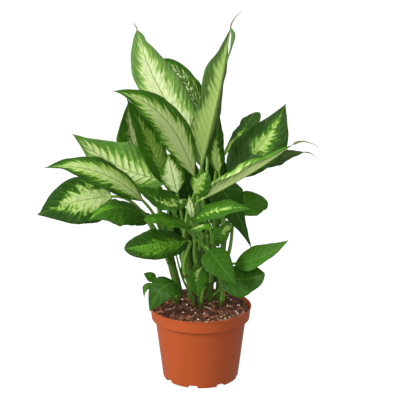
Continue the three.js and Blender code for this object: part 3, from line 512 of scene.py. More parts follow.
def turned(name, sides, profile):
    """A closed turned body: a circle that is extruded and resized from one (radius, z) to the next."""
    deselect()
    (radius, height), *rest = [(r * MM, z * MM) for r, z in profile]
    bpy.ops.mesh.primitive_circle_add(vertices=sides, radius=radius, location=(0, 0, height))
    piece = bpy.context.object
    piece.name = name
    bpy.ops.object.transform_apply()
    bpy.ops.object.mode_set(mode="EDIT")
    bpy.ops.mesh.select_mode(type="EDGE")
    bpy.ops.mesh.select_all(action="SELECT")
    bpy.ops.mesh.edge_face_add()
    bpy.ops.mesh.select_all(action="DESELECT")
    shape = bmesh.from_edit_mesh(piece.data)
    for edge in shape.edges:
        edge.select_set(True)
    bmesh.update_edit_mesh(piece.data)
    for next_radius, next_height in rest:
        bpy.ops.mesh.extrude_edges_move(TRANSFORM_OT_translate={"value": (0, 0, next_height - height)})
        bpy.ops.transform.resize(
            value=(next_radius / radius, next_radius / radius, 1), center_override=(0, 0, next_height))
        radius, height = next_radius, next_height
    bpy.ops.mesh.edge_face_add()
    bpy.ops.mesh.select_all(action="SELECT")
    bpy.ops.mesh.normals_make_consistent(inside=False)
    bpy.ops.object.mode_set(mode="OBJECT")
    return piece


def arc(centre, radius, start, end, steps):
    """Points of an arc in (radius, z), from start to end degrees."""
    turns = [math.radians(mix(start, end, i / steps)) for i in range(steps + 1)]
    return [(centre[0] + radius * math.cos(a), centre[1] + radius * math.sin(a)) for a in turns]


# Materials

# The nodes that materials are made of: type, input sockets in the order given, output and settings.
# A noise's scale counts marks to the metre, so 1000 is for marks of 1 mm.
NODES = {
    "plus": ("ShaderNodeMath", (0, 1), 0, {"operation": "ADD"}),
    "minus": ("ShaderNodeMath", (0, 1), 0, {"operation": "SUBTRACT"}),
    "times": ("ShaderNodeMath", (0, 1), 0, {"operation": "MULTIPLY"}),
    "times plus": ("ShaderNodeMath", (0, 1, 2), 0, {"operation": "MULTIPLY_ADD"}),
    "cosine": ("ShaderNodeMath", (0,), 0, {"operation": "COSINE"}),
    "unsigned": ("ShaderNodeMath", (0,), 0, {"operation": "ABSOLUTE"}),
    "step": ("ShaderNodeMapRange", (0, 1, 2), 0, {"interpolation_type": "SMOOTHSTEP"}),
    "blend": ("ShaderNodeMix", (0, 6, 7), 2, {"data_type": "RGBA"}),
    "noise": ("ShaderNodeTexNoise", ("Vector", "Scale", "Detail", "Roughness"), 0, {}),
    "place": ("ShaderNodeTexCoord", (), "Object", {}),
    "stretch": ("ShaderNodeMapping", ("Vector", "Scale"), 0, {}),
    "join": ("ShaderNodeCombineXYZ", (0, 1, 2), 0, {}),
    "split": ("ShaderNodeSeparateXYZ", (0,), slice(None), {}),
    "vectors": ("ShaderNodeAttribute", (), "Vector", {}),
    "numbers": ("ShaderNodeAttribute", (), "Fac", {}),
    "bump": ("ShaderNodeBump", ("Height", "Strength", "Distance"), 0, {}),
}


def linear(code):
    """A hex colour as linear RGBA."""
    channels = [int(code[i:i + 2], 16) / 255 for i in (1, 3, 5)]
    return [c / 12.92 if c <= 0.04045 else ((c + 0.055) / 1.055) ** 2.4 for c in channels] + [1]


def add_node(tree, kind, *inputs, **settings):
    """Adds a node and gives its output. An input is a value, a hex colour or another node's output."""
    node_type, sockets, output, usual = NODES[kind]
    node = tree.nodes.new(node_type)
    for key, value in {**usual, **settings}.items():
        setattr(node, key, value)
    for socket, value in zip(sockets, inputs):
        if isinstance(value, bpy.types.NodeSocket):
            tree.links.new(value, node.inputs[socket])
        else:
            node.inputs[socket].default_value = linear(value) if isinstance(value, str) else value
    return node.outputs[output]


def material(name, **sockets):
    """A material with one Principled surface, and what adds nodes to it. Constant sockets are set here."""
    made = bpy.data.materials.new(name)
    made.use_nodes = True
    surface = made.node_tree.nodes["Principled BSDF"]
    for socket, value in sockets.items():
        surface.inputs[socket.replace("_", " ")].default_value = value
    return made, partial(add_node, made.node_tree)


def coated(made, colour, bump=None):
    """Gives a material's surface its colour and, where there is one, its bump."""
    tree = made.node_tree
    surface = tree.nodes["Principled BSDF"]
    tree.links.new(colour, surface.inputs["Base Color"])
    if bump is not None:
        tree.links.new(bump, surface.inputs["Normal"])
    return made


def leaf_pattern(add):
    """What both sides of a blade share: its pale zone, veins and midrib, read from its attributes."""
    vein, look, marks = (add("vectors", attribute_name=name) for name in ("vein", "look", "marks"))
    along, out, margin = add("split", vein)
    ragged, cream, tone = add("split", look)
    soft, fleck, veiny = add("split", marks)

    def streaks(over, beside, detail, apart=0.0):
        """Noise drawn out along the side veins: over is how many marks to a vein spacing."""
        flow = add("join", add("times", along, over), add("times", out, beside), apart)
        return add("noise", flow, 1.0, detail, 0.6)

    # The zone's edge breaks up in marks of several sizes, and in teeth of about 5 mm. About half of
    # their sum is taken off first, so that they move it both ways.
    broad, fine, small = streaks(1.3, 0.45, 1), streaks(3.6, 0.9, 3), streaks(8, 3.5, 2)
    teeth = add("step", streaks(2.2, 1.1, 1, 10.0), 0.38, 0.62)
    jag = -1.33
    for marking, share in ((broad, 0.9), (fine, 0.8), (small, 0.4), (teeth, 0.55)):
        jag = add("times plus", marking, share, jag)
    jag = add("times", jag, ragged)
    # Green follows the side veins into the pale zone of a veiny leaf
    ridge = add("cosine", add("times", along, FULL_TURN))
    jag = add("times plus", ridge, add("times", veiny, 0.13), jag)
    edge = add("plus", margin, jag)
    outer = add("times plus", soft, 0.16, 0.04)
    inner = add("times plus", soft, -0.12, -0.05)
    pale = add("step", edge, outer, inner)
    # A speckled leaf is pale only in spots of about 2 mm
    bare = add("times", add("step", streaks(4, 2.4, 1, 20.0), 0.56, 0.5), fleck)
    pale = add("times", pale, add("minus", 1.0, bare))
    # Green islands lie in the pale zone near its edge
    near_edge = add("step", edge, -0.45, -0.05)
    island = add("times", add("step", streaks(5, 1.8, 2, 60.0), 0.55, 0.6), near_edge)
    pale = add("times", pale, add("times plus", island, -0.6, 1.0))
    # Full cream lies well inside the edge, and a broken line follows each side vein
    inmost = add("step", add("times plus", fine, 0.7, edge), 0.4, -0.1)
    wander = add("times plus", broad, 0.6, small)
    line = add("step", add("plus", ridge, wander), 1.1, 2.0)
    # Away from the pale zone the green is nearly even
    halo = add("step", edge, 0.3, 0.02)
    grain = add("minus", add("step", streaks(5, 1.2, 3, 40.0), 0.3, 0.7), 0.5)
    return SimpleNamespace(
        tone=tone, lean=cream, cream=add("times", cream, inmost), veiny=veiny, pale=pale, halo=halo,
        core=add("step", edge, 0.0, -0.15), small=small, ridge=ridge, line=line,
        grain=add("times plus", grain, add("times plus", halo, 0.65, 0.35), 0.5),
        finger=add("times", line, add("step", edge, -0.75, -0.1)),
        aside=add("unsigned", out))


def blade_bump(add, mark):
    """Low quilting between the side veins and a leathery grain of about 1 mm."""
    grain = add("times", add("noise", add("place"), 900.0), 0.25)
    return add("bump", add("times plus", mark.ridge, 0.5, grain), 0.55, 0.0008)


def leaf_upper():
    """Living leaf, upper side: a waxy skin over green tissue, cream where the tissue has no green."""
    made, add = material("leaf_upper_side", Roughness=0.5, IOR=1.42, Specular_IOR_Level=0.14)
    mark = leaf_pattern(add)
    dark = add("blend", mark.grain, "#123004", "#284F0A")
    bright = add("blend", mark.grain, "#2C600A", "#55901C")
    lively = add("blend", mark.grain, "#39760D", "#6CA62C")
    # Past dark and bright the green goes over to olive and to a bleached green
    green = add("blend", mark.tone, dark, bright)
    green = add("blend", add("step", mark.tone, 0.0, -0.4), green, "#414A24")
    green = add("blend", add("step", mark.tone, 0.9, 1.3), green, "#5E7C42")
    green = add("blend", add("times", mark.halo, 0.35), green, lively)
    green = add("blend", add("times", mark.line, 0.06), green, "#7FA84E")
    # Past yellowish and creamy the zone goes over to leaf green and to nearly white
    leafy = add("step", mark.lean, 0.0, -0.5)
    yellowish = add("blend", mark.small, "#769E38", "#A9C564")
    creamy = add("blend", mark.small, "#BBCC88", "#E6EEBE")
    paleness = add("blend", mark.cream, yellowish, creamy)
    paleness = add("blend", leafy, paleness, lively)
    # Above a cream of 1 the zone goes nearly white: painted light on leaves that lie in shade
    paleness = add("blend", add("step", mark.cream, 1.0, 1.6), paleness, "#EAFFB8")
    between = add("blend", mark.grain, "#5F922A", "#94B850")
    between = add("blend", leafy, between, "#4F8C1C")
    zone = add("blend", mark.core, between, paleness)
    zone = add("blend", add("times", mark.finger, mark.veiny), zone, "#5E8E2E")
    colour = add("blend", mark.pale, green, zone)
    # The midrib is about 2 mm wide and shows more in the zone than in the green
    rib = add("blend", mark.pale, "#5E8C34", "#6F8A34")
    strength = add("times plus", mark.pale, 0.45, 0.3)
    strength = add("times", add("step", mark.aside, 0.13, 0.05), strength)
    return coated(made, add("blend", strength, colour, rib), blade_bump(add, mark))


def leaf_under():
    """Living leaf, under side: the same markings seen through a dull, greyer skin."""
    made, add = material("leaf_under_side", Roughness=0.6, IOR=1.4, Specular_IOR_Level=0.18)
    mark = leaf_pattern(add)
    green = add("blend", mark.tone, "#2D4A18", "#5F8238")
    paleness = add("blend", mark.cream, "#86A250", "#D2EA94")
    colour = add("blend", mark.pale, green, paleness)
    colour = add("blend", add("times", mark.line, 0.18), colour, "#6E9044")
    midrib = add("times", add("step", mark.aside, 0.2, 0.1), 0.6)
    return coated(made, add("blend", midrib, colour, "#7C9C4C"), blade_bump(add, mark))


def withered_tip():
    """Dry leaf point: papery, grey-brown and dull, in patches of about 4 mm."""
    made, add = material("withered_leaf_point", Roughness=0.8)
    patches = add("noise", add("place"), 250.0)
    return coated(made, add("blend", patches, "#4A4628", "#8E8A52"))


def leaf_stalk():
    """Living stalk: smooth, juicy and light green, with painted highlights in lengthwise streaks about 1 mm
    wide.
    """
    made, add = material("leaf_stalk_skin", Roughness=0.4, IOR=1.42)
    where = add("place")
    streaks = add("noise", add("stretch", where, (1.0, 1.0, 0.08)), 900.0)
    green = add("blend", add("noise", where, 30.0, 1), "#43761A", "#76A83A")
    # The light lengthwise streaks are painted highlights
    return coated(made, add("blend", add("step", streaks, 0.5, 0.75), green, "#9CC45E"))


def cane_skin():
    """Green cane: smooth skin with brownish rings where old leaves fell, and brown near the soil."""
    made, add = material("cane_skin", Roughness=0.48, IOR=1.42)
    where = add("place")
    streaks = add("noise", add("stretch", where, (1.0, 1.0, 0.06)), 700.0, 3)
    green = add("blend", streaks, "#2A5210", "#56882A")
    height = add("split", where)[2]
    earthy = add("blend", add("step", height, 0.122, 0.106), green, "#4B4A22")
    scar = add("times", add("numbers", attribute_name="scar"), 0.6)
    return coated(made, add("blend", scar, earthy, "#6B6434"))


def pot_plastic():
    """Terracotta-coloured polypropylene, injection moulded: a satin skin with a faint grain of 2 mm."""
    made, add = material("moulded_terracotta_plastic", Roughness=0.45, IOR=1.49, Specular_IOR_Level=0.22)
    where = add("place")
    speck = add("noise", where, 500.0)
    base = add("blend", add("noise", where, 18.0, 3), "#A3461F", "#B15225")
    colour = add("blend", add("step", speck, 0.62, 0.8), base, "#963F1E")
    return coated(made, colour, add("bump", speck, 0.12, 0.0003))


def potting_mix_crumb():
    """Moist peat: brown crumbs of about 3 mm, with painted shade in the low hollows between them, redder in
    patches of about 14 mm where fibres lie.
    """
    made, add = material("peat_crumb", Roughness=0.92)
    where = add("place")
    crumbs = add("noise", where, 320.0, 4, 0.65)
    # The noise that lifts the crumbs also darkens their low parts: the peat's own brown, with painted shade
    # in the hollows
    dark = add("blend", add("step", crumbs, 0.35, 0.65), "#281206", "#70421F")
    patches = add("step", add("noise", where, 70.0), 0.6, 0.75)
    return coated(made, add("blend", patches, dark, "#7E4A26"), add("bump", crumbs, 1.0, 0.002))


def bark_chip():
    """Composted bark: reddish brown and dull, each chip lighter or darker, with fibres of about 2 mm."""
    made, add = material("composted_bark", Roughness=0.85)
    where = add("place")
    chip = add("step", add("noise", where, 90.0), 0.4, 0.6)
    fibre = add("noise", where, 600.0, 3)
    colour = add("blend", chip, "#3A1D0E", "#966046")
    colour = add("blend", add("step", fibre, 0.45, 0.75), colour, "#5E3020")
    return coated(made, colour, add("bump", fibre, 0.8, 0.0008))


def perlite_grain():
    """Perlite: white puffed glass, chalky and full of holes of about 1 mm, which are painted darker as the
    shade inside them.
    """
    made, add = material("perlite", Roughness=0.8)
    holes = add("step", add("noise", add("place"), 900.0), 0.35, 0.6)
    # The darker colour in the holes is painted shade
    return coated(made, add("blend", holes, "#C4B494", "#F4EBD2"))


# Pot

def pot_profile():
    """From the middle of the underside, up the outside, over the rim and down the inside."""
    points = [(CLOSING_RADIUS, 0)]
    points += arc((BASE_RADIUS - FOOT_ROUNDING, FOOT_ROUNDING), FOOT_ROUNDING, -90, -5, 6)
    # A step out to the rim band
    points += [(BODY_TOP_RADIUS - 0.4, BAND_FOOT - 3.4), (BODY_TOP_RADIUS, BAND_FOOT - 1)]
    points += [(BODY_TOP_RADIUS + 0.9, BAND_FOOT + 0.2), (BAND_RADIUS - 2.6, BAND_FOOT + 1)]
    points += arc((BAND_RADIUS - BAND_ROUNDING, BAND_FOOT + 3), BAND_ROUNDING, -80, 5, 6)
    # A lip that stands out a little
    points += [(RIM_RADIUS - 1.1, POT_HEIGHT - 2.4)]
    points += arc((RIM_RADIUS - LIP_ROUNDING, POT_HEIGHT - LIP_ROUNDING), LIP_ROUNDING, -40, 175, 8)
    points += [(RIM_RADIUS - 1 - WALL, POT_HEIGHT - 3), (BAND_RADIUS - WALL, BAND_FOOT + INNER_STEP)]
    points += [(BODY_TOP_RADIUS - WALL, BAND_FOOT), (BASE_RADIUS - WALL, FLOOR), (CLOSING_RADIUS, FLOOR)]
    return points


def pot():
    """A thin moulded cup with a rim band, and drainage notches in the corner of wall and floor."""
    piece = turned("pot_shell", POT_SIDES, pot_profile())
    reach = (BASE_RADIUS + 1 - NOTCH_DEPTH / 2) * MM
    for i in range(NOTCHES):
        turn = (i + NOTCH_SHIFT) / NOTCHES * FULL_TURN
        deselect()
        bpy.ops.mesh.primitive_cube_add(
            size=1, location=(reach * math.cos(turn), reach * math.sin(turn), 0),
            rotation=(0, 0, turn), scale=(NOTCH_DEPTH * MM, NOTCH_WIDTH * MM, 2 * NOTCH_HEIGHT * MM))
        bpy.ops.object.transform_apply()
        bpy.ops.object.mode_set(mode="EDIT")
        bpy.ops.mesh.select_all(action="SELECT")
        bpy.ops.mesh.bevel(offset=NOTCH_ROUNDING * MM, segments=4, affect="EDGES")
        bpy.ops.object.mode_set(mode="OBJECT")
        cutter = bpy.context.object
        choose(piece)
        cut = piece.modifiers.new("notch", "BOOLEAN")
        cut.operation = "DIFFERENCE"
        cut.object = cutter
        bpy.ops.object.modifier_apply(modifier=cut.name)
        bpy.data.objects.remove(cutter)
    choose(piece)
    bpy.ops.object.shade_smooth_by_angle(angle=math.radians(32))
    piece.data.materials.append(pot_plastic())
    settle(piece, "pot", "pot")


# Potting mix

def inner_radius(z):
    """The radius of the pot's inside at a height."""
    step = BAND_FOOT + INNER_STEP
    if z > step:
        return mix(BAND_RADIUS, RIM_RADIUS - 1, (z - step) / (BAND_HEIGHT - INNER_STEP - 1)) - WALL
    if z > BAND_FOOT:
        return mix(BODY_TOP_RADIUS, BAND_RADIUS, (z - BAND_FOOT) / INNER_STEP) - WALL
    return mix(BASE_RADIUS, BODY_TOP_RADIUS, (z - FLOOR) / (BAND_FOOT - FLOOR)) - WALL


def soil_height(x, y):
    """The level of the mix in millimetres: a mound, more mix at the rim and at the rear, and lumps."""
    far = math.hypot(x - MOUND["x"], y - MOUND["y"]) / MOUND["spread"]
    lumps = math.sin(x * 0.31 + 1.3) * math.cos(y * 0.27) + math.sin(x * 0.17 - y * 0.23)
    crumbs = 1.6 * noise.noise(Vector((x, y, 7)) / 5) + 1.1 * noise.noise(Vector((x, y, 3)) / 2.4)
    brim = 2.2 * smooth(48, 70, math.hypot(x, y))
    rear = 4 * math.exp(-((x + 15) / 30) ** 2 - ((y - 62) / 14) ** 2)
    return SOIL_EDGE + brim + rear + MOUND["rise"] * math.exp(-far * far / 2) + 0.8 * lumps + crumbs


def potting_mix():
    """The filling, which ends under the rim and rises round the canes, with loose grains on it."""
    bottom = FLOOR + CLEAR
    edge = inner_radius(SOIL_EDGE) - CLEAR
    profile = [(CLOSING_RADIUS, bottom)]
    profile += [(inner_radius(z) - 1.2, z) for z in (bottom, BAND_FOOT + 0.2, BAND_FOOT + 6.5)]
    profile += [(inner_radius(SOIL_EDGE - 3) - 0.6, SOIL_EDGE - 3)]
    profile += [(mix(edge, CLOSING_RADIUS, i / SOIL_RINGS), SOIL_EDGE) for i in range(SOIL_RINGS + 1)]
    piece = turned("potting_mix_body", SOIL_SIDES, profile)
    for vertex in piece.data.vertices:
        if vertex.co.z > (SOIL_EDGE - 1) * MM:
            vertex.co.z = soil_height(vertex.co.x / MM, vertex.co.y / MM) * MM
    choose(piece)
    bpy.ops.object.shade_smooth_by_angle(angle=math.radians(50))
    piece.data.materials.append(potting_mix_crumb())
    settle(piece, "potting_mix", "potting_mix")
    grains("bark_chips", BARK_COUNT, bark_shape, size=(2.2, 8), sunk=0.2, finish=bark_chip(), seed=11)
    grains("perlite_grains", PERLITE_COUNT, perlite_shape, size=(1.6, 4), sunk=0.1,
           finish=perlite_grain(), seed=23)


def bark_shape(chance):
    """A broken chip: a cube with bevelled, skewed corners, longer than it is thick."""
    deselect()
    bpy.ops.mesh.primitive_cube_add(size=1, scale=(1, 0.62, 0.42))
    bpy.ops.object.transform_apply()
    bpy.ops.object.mode_set(mode="EDIT")
    bpy.ops.mesh.bevel(offset=0.14, segments=1, affect="EDGES")
    bpy.ops.object.mode_set(mode="OBJECT")
    return roughened(bpy.context.object, chance, 0.16)


def perlite_shape(chance):
    """A puffed grain: a ball with dents."""
    deselect()
    bpy.ops.mesh.primitive_ico_sphere_add(subdivisions=2, radius=0.5)
    return roughened(bpy.context.object, chance, 0.13)


def roughened(piece, chance, share):
    """Moves each vertex by chance, up to a share of the grain's size."""
    for vertex in piece.data.vertices:
        vertex.co += Vector([chance.uniform(-share, share) for _ in range(3)])
    return piece


def grains(name, count, shape, size, sunk, finish, seed):
    """Grains scattered over the mix by a seeded draw, each turned and part sunk, joined in one piece."""
    chance = random.Random(seed)
    originals = [shape(chance) for _ in range(GRAIN_SHAPES)]
    feet = [Vector(path[1][:2]) for path, _ in CANES.values()]
    copies = []
    while len(copies) < count:
        turn = chance.uniform(0, FULL_TURN)
        far = (inner_radius(SOIL_EDGE) - GRAIN_OFF_WALL) * math.sqrt(chance.random())
        spot = Vector((far * math.cos(turn), far * math.sin(turn)))
        if min((spot - foot).length for foot in feet) < GRAIN_OFF_CANE:
            continue
        grain = copied(originals[len(copies) % GRAIN_SHAPES], f"{name}_{len(copies)}")
        across = mix(*size, chance.random() ** 2)
        grain.scale = [across * MM] * 3
        tilts = [chance.uniform(-GRAIN_TILT, GRAIN_TILT) for _ in range(2)]
        grain.rotation_euler = [*tilts, chance.uniform(0, 6.3)]
        level = soil_height(*spot) + across * (0.3 - sunk)
        grain.location = (spot.x * MM, spot.y * MM, level * MM)
        copies.append(grain)
    for original in originals:
        bpy.data.objects.remove(original)
    deselect()
    for grain in copies:
        grain.select_set(True)
    bpy.context.view_layer.objects.active = copies[0]
    bpy.ops.object.join()
    piece = bpy.context.object
    piece.name = name
    bpy.ops.object.transform_apply()
    bpy.ops.object.shade_smooth_by_angle(angle=math.radians(40))
    piece.data.materials.append(finish)
    settle(piece, "potting_mix")


# Canes

def smooth_line(points, steps=40):
    """A dense line through the points, on a centripetal spline."""
    points = [Vector(p) for p in points]
    points = [2 * points[0] - points[1], *points, 2 * points[-1] - points[-2]]
    line = []
    for i in range(1, len(points) - 2):
        p0, p1, p2, p3 = points[i - 1:i + 3]
        d0, d1, d2 = (math.sqrt((b - a).length) for a, b in ((p0, p1), (p1, p2), (p2, p3)))
        t1 = ((p1 - p0) / d0 - (p2 - p0) / (d0 + d1) + (p2 - p1) / d1) * d1
        t2 = ((p2 - p1) / d1 - (p3 - p1) / (d1 + d2) + (p3 - p2) / d2) * d1
        for j in range(steps):
            t = j / steps
            line.append(p1 + t1 * t + (3 * (p2 - p1) - 2 * t1 - t2) * t ** 2
                        + (2 * (p1 - p2) + t1 + t2) * t ** 3)
    return line + [points[-2]]


class Growth:
    """The middle line of a cane or a small growth, measured along its length."""

    def __init__(self, points, radii=(1, 1)):
        self.line = smooth_line(points)
        self.radii = radii
        self.reach = [0]
        for a, b in zip(self.line, self.line[1:]):
            self.reach.append(self.reach[-1] + (b - a).length)

    def at(self, t):
        """Centre, direction and radius at a share t of the length."""
        want = t * self.reach[-1]
        i = 0
        while i < len(self.line) - 2 and self.reach[i + 1] < want:
            i += 1
        a, b = self.line[i], self.line[i + 1]
        share = (want - self.reach[i]) / (self.reach[i + 1] - self.reach[i])
        return a.lerp(b, share), (b - a).normalized(), mix(*self.radii, t)

    def at_height(self, height):
        """The same where the line first reaches a height."""
        t = 0
        while t < 1 and self.at(t)[0].z < height:
            t += 0.005
        return self.at(min(t, 1))


canes = {name: Growth(*row) for name, row in CANES.items()}


def cane_sides(along):
    """Two directions square to a cane and to each other."""
    side = across_to(Vector((1, 0, 0)), along)
    return side, along.cross(side)


def cane_piece(name, cane, tube, skin):
    """A cane with a low ring at each node, where a leaf once clasped it, and a blunt tip."""
    rings, scars = [], []
    blunted = {CANE_STEPS: 0.55, CANE_STEPS - 1: 0.9}
    for i in range(CANE_STEPS + 1):
        t = i / CANE_STEPS
        centre, along, radius = cane.at(t)
        side, other = cane_sides(along)
        from_node = (t * cane.reach[-1] / NODE_SPACING + 0.3) % 1
        scar = math.exp(-((from_node - 0.5) * 7) ** 2)
        radius *= (0.97 + 0.06 * scar) * blunted.get(i, 1)
        scars.append(scar)
        ring = []
        for k in range(CANE_SIDES):
            turn = k / CANE_SIDES * FULL_TURN
            bulge = 1 + 0.03 * math.sin(3 * turn + 5 * t)
            ring.append(centre + (side * math.cos(turn) + other * math.sin(turn)) * radius * bulge)
        rings.append(ring)
    piece = tube.laid(f"cane_{name}", rings)
    stored(piece, "scar", [scars[ring] for ring, _ in tube.places])
    piece.data.materials.append(skin)
    settle(piece, "cane", f"stem_{name}")


def cane_pieces(skin):
    tube = Tube(CANE_SIDES, CANE_STEPS)
    for name, cane in canes.items():
        cane_piece(name, cane, tube, skin)
    bpy.data.objects.remove(tube.blank)


# Leaves

def curve_at(points, t):
    """Point and direction at t on a curve of three or four control points."""
    while len(points) > 2:
        points = [a.lerp(b, t) for a, b in zip(points, points[1:])]
    return points[0].lerp(points[1], t), (points[1] - points[0]).normalized()


def midrib(leaf):
    """The control points of a curve through the leaf's base, mid and tip."""
    base, mid, tip = (Vector(point) for point in (leaf.base, leaf.mid, leaf.tip))
    return [base, 2 * mid - (base + tip) / 2, tip]


def outline(leaf, s):
    """Half the width at s along the blade, as a share of the widest."""
    base_power = leaf.tip_power * leaf.belly / (1 - leaf.belly)
    peak = leaf.belly ** base_power * (1 - leaf.belly) ** leaf.tip_power
    return s ** base_power * (1 - s) ** leaf.tip_power / peak


def blade_frame(leaf, curve, s):
    """Centre and direction of the midrib at s, and the directions up from the blade and across it."""
    centre, along = curve_at(curve, s)
    normal = across_to(Vector(leaf.face), along)
    return centre, along, normal, along.cross(normal)


def across_shares():
    """Places across a blade from -1 to 1, closer together near the midrib."""
    evenly = [2 * i / (ACROSS_COUNT - 1) - 1 for i in range(ACROSS_COUNT)]
    return [t * (0.45 + 0.55 * abs(t)) for t in evenly]


def blade_stations():
    """Places along a blade from 0 to 1, closer together at its ends."""
    evenly = [i / BLADE_STEPS for i in range(BLADE_STEPS + 1)]
    return [mix(t, (1 - math.cos(math.pi * t)) / 2, 0.5) for t in evenly]


def vein_place(leaf, s, q):
    """Which side vein runs through a point of the blade: they leave the midrib slanting to the tip."""
    share = abs(q)
    count = max(5, round((Vector(leaf.tip) - Vector(leaf.base)).length / VEIN_SPACING))
    return (s - 0.13 * share - 0.1 * share * share) * count


def blade_ring(leaf, frame_at, s, stalk, seed):
    """The skin of the blade at s: over the top from q = -1 to 1, then back underneath."""
    centre, _, normal, across = frame_at
    widest = max(leaf.width / 2 * outline(leaf, s), mix(stalk, TAIL_HALF_WIDTH, s))
    trims = row_at(leaf.trim, s)
    fold = math.radians(leaf.fold)
    curl = math.radians(leaf.curl)
    ripple = leaf.wave * math.sin(math.pi * s)
    middle = math.sin(math.pi * min(1, s * 1.05))

    def point(q, upper):
        share, side = abs(q), (q > 0) - (q < 0)
        uneven = noise.noise(Vector((s * 6, side, seed * 2.3)))
        uneven += 0.4 * noise.noise(Vector((s * 20, side, seed)))
        half = widest * trims[q > 0] * (1 + MARGIN_UNEVENNESS * middle * uneven)
        lean = fold + curl * share
        out = half * (math.sin(lean) - math.sin(fold)) / curl
        phase = 5 * math.pi * s + (1.9 if q < 0 else 0) + leaf.width
        rise = half * (math.cos(fold) - math.cos(lean)) / curl + ripple * q * q * math.sin(phase)
        rise += 0.3 * ripple * share ** 3 * math.sin(2.7 * phase + 2 * seed)
        quilt = math.cos(FULL_TURN * vein_place(leaf, s, q)) * share * (1 - share) * 4
        rise -= QUILT_DEPTH * quilt * middle
        rise += LUMP_HEIGHT * middle * noise.noise(Vector((s * 3, q * 1.5, seed * 3.7)))
        away = share * half
        depth = mix(BLADE_THICKNESS, EDGE_THICKNESS, share ** 3) / 2
        if upper:
            # The stalk runs out on top, and a groove over the midrib follows it
            depth += 1.2 * stalk * math.exp(-s / 0.03) * math.exp(-(away / 2) ** 2)
            depth -= GROOVE_DEPTH * math.exp(-(away / 0.9) ** 2) * (1 - s) * smooth(0.05, 0.12, s)
        else:
            depth = -depth - RIB_DEPTH * (1 - s) * math.exp(-(away / 1.6) ** 2)
        return (centre + across * side * (out - depth * math.sin(lean))
                + normal * (rise + depth * math.cos(lean)))

    shares = across_shares()
    return [point(q, True) for q in shares] + [point(q, False) for q in reversed(shares)]


def stalk_ring(centre, normal, across, radius):
    """A round ring whose points match a blade ring's: first over the top, then back underneath."""
    count = 2 * ACROSS_COUNT
    ring = []
    for k in range(count):
        turn = (k + 0.5) / count * FULL_TURN
        ring.append(centre - across * radius * math.cos(turn) + normal * radius * math.sin(turn))
    return ring


def seat_distance(cane_radius, along, outward, thick):
    """How far from the middle of the CAD model's faceted cane the stalk stands."""
    side, other = cane_sides(along)
    facet = FULL_TURN / CANE_FACETS
    turn = math.atan2(outward.dot(other), outward.dot(side))
    off = turn - round(turn / facet) * facet
    flat = (cane_radius * math.cos(facet / 2) + thick + CLEAR) / math.cos(off)
    return min(cane_radius + thick + CLEAR, flat)


def stalk_rings(leaf, thick, thin):
    """The stalk, from where it clasps the cane to the blade."""
    seat, up, cane_radius = canes[leaf.cane].at_height(leaf.node)
    curve = midrib(leaf)
    base = curve[0]
    outward = across_to(Vector((*leaf.leaves, 0)) if leaf.leaves else base - seat, up)
    root = seat + outward * seat_distance(cane_radius, up, outward, thick)
    reach = (root - base).length
    rise = (up + 0.25 * outward).normalized()
    arrive = (curve[1] - curve[0]).normalized()
    stalk = [root, root + rise * reach * 0.45, base - arrive * reach * leaf.neck, base]
    first_normal = blade_frame(leaf, curve, 0)[2]
    rings = []
    for i in range(STALK_STEPS):
        t = (i / STALK_STEPS) ** 1.3
        centre, along = curve_at(stalk, t)
        normal = across_to(mix(-outward, first_normal, t), along)
        # The foot leans into the cane and widens as a sheath
        sheath = math.exp(-(t / 0.12) ** 2)
        centre = centre - outward * sheath * 0.35 * thick
        radius = mix(thick, thin, t ** 0.6) * (1 + 0.12 * sheath)
        rings.append(stalk_ring(centre, normal, along.cross(normal), radius))
    return rings


def tail_rings(leaf, curve):
    """A withered point that runs on from the tip as a thin, kinked thread."""
    tip, end = curve[-1], Vector(leaf.tail)
    _, along, normal, across = blade_frame(leaf, curve, 1)
    tail = [tip, tip + along * (tip - end).length * 0.5, end]
    rings = []
    for i in range(1, TAIL_STEPS + 1):
        t = i / TAIL_STEPS
        centre = curve_at(tail, t)[0] + across * 0.5 * math.sin(9 * t) * (1 - t)
        rings.append(stalk_ring(centre, normal, across, mix(leaf.tail_start, 0.5, t)))
    return rings


def leaf_rings(leaf, seed):
    """Every ring of a leaf, and its place along the blade: below 0 on the stalk, over 1 on a tail."""
    thick, thin = leaf.stalk or ((3.2, 2.1) if leaf.width > BROAD_LEAF else (2.7, 1.8))
    curve = midrib(leaf)
    rings = stalk_rings(leaf, thick, thin)
    stations = [-1] * len(rings)
    for s in blade_stations():
        frame_at = blade_frame(leaf, curve, s)
        if s == 0:
            rings.append(stalk_ring(frame_at[0], frame_at[2], frame_at[3], thin))
        else:
            rings.append(blade_ring(leaf, frame_at, s, thin, seed))
        stations.append(s)
    if leaf.tail:
        rings += tail_rings(leaf, curve)
        stations += [1.2] * TAIL_STEPS
    return rings, stations


def paint_leaf(piece, leaf, places, stations, seed):
    """Stores on each vertex what the leaf materials read: its side vein, centimetres from the midrib,
    how far it lies outside the pale zone as a share of the half width, and the leaf's own look."""
    shares = across_shares()
    veins = []
    for ring, k in places:
        q = shares[k if k < ACROSS_COUNT else 2 * ACROSS_COUNT - 1 - k]
        s = min(1, max(0, stations[ring]))
        half = leaf.width / 2 * outline(leaf, s) * row_at(leaf.trim, s)[q > 0]
        margin = abs(q) - row_at(leaf.pale, s)[q > 0]
        veins.append((vein_place(leaf, s, q) + PATTERN_SHIFT * seed, q * half / 10, margin))
    stored(piece, "vein", veins)
    stored(piece, "look", [(leaf.ragged, leaf.cream, leaf.tone)] * len(places))
    stored(piece, "marks", [(leaf.soft, leaf.fleck, leaf.veiny)] * len(places))


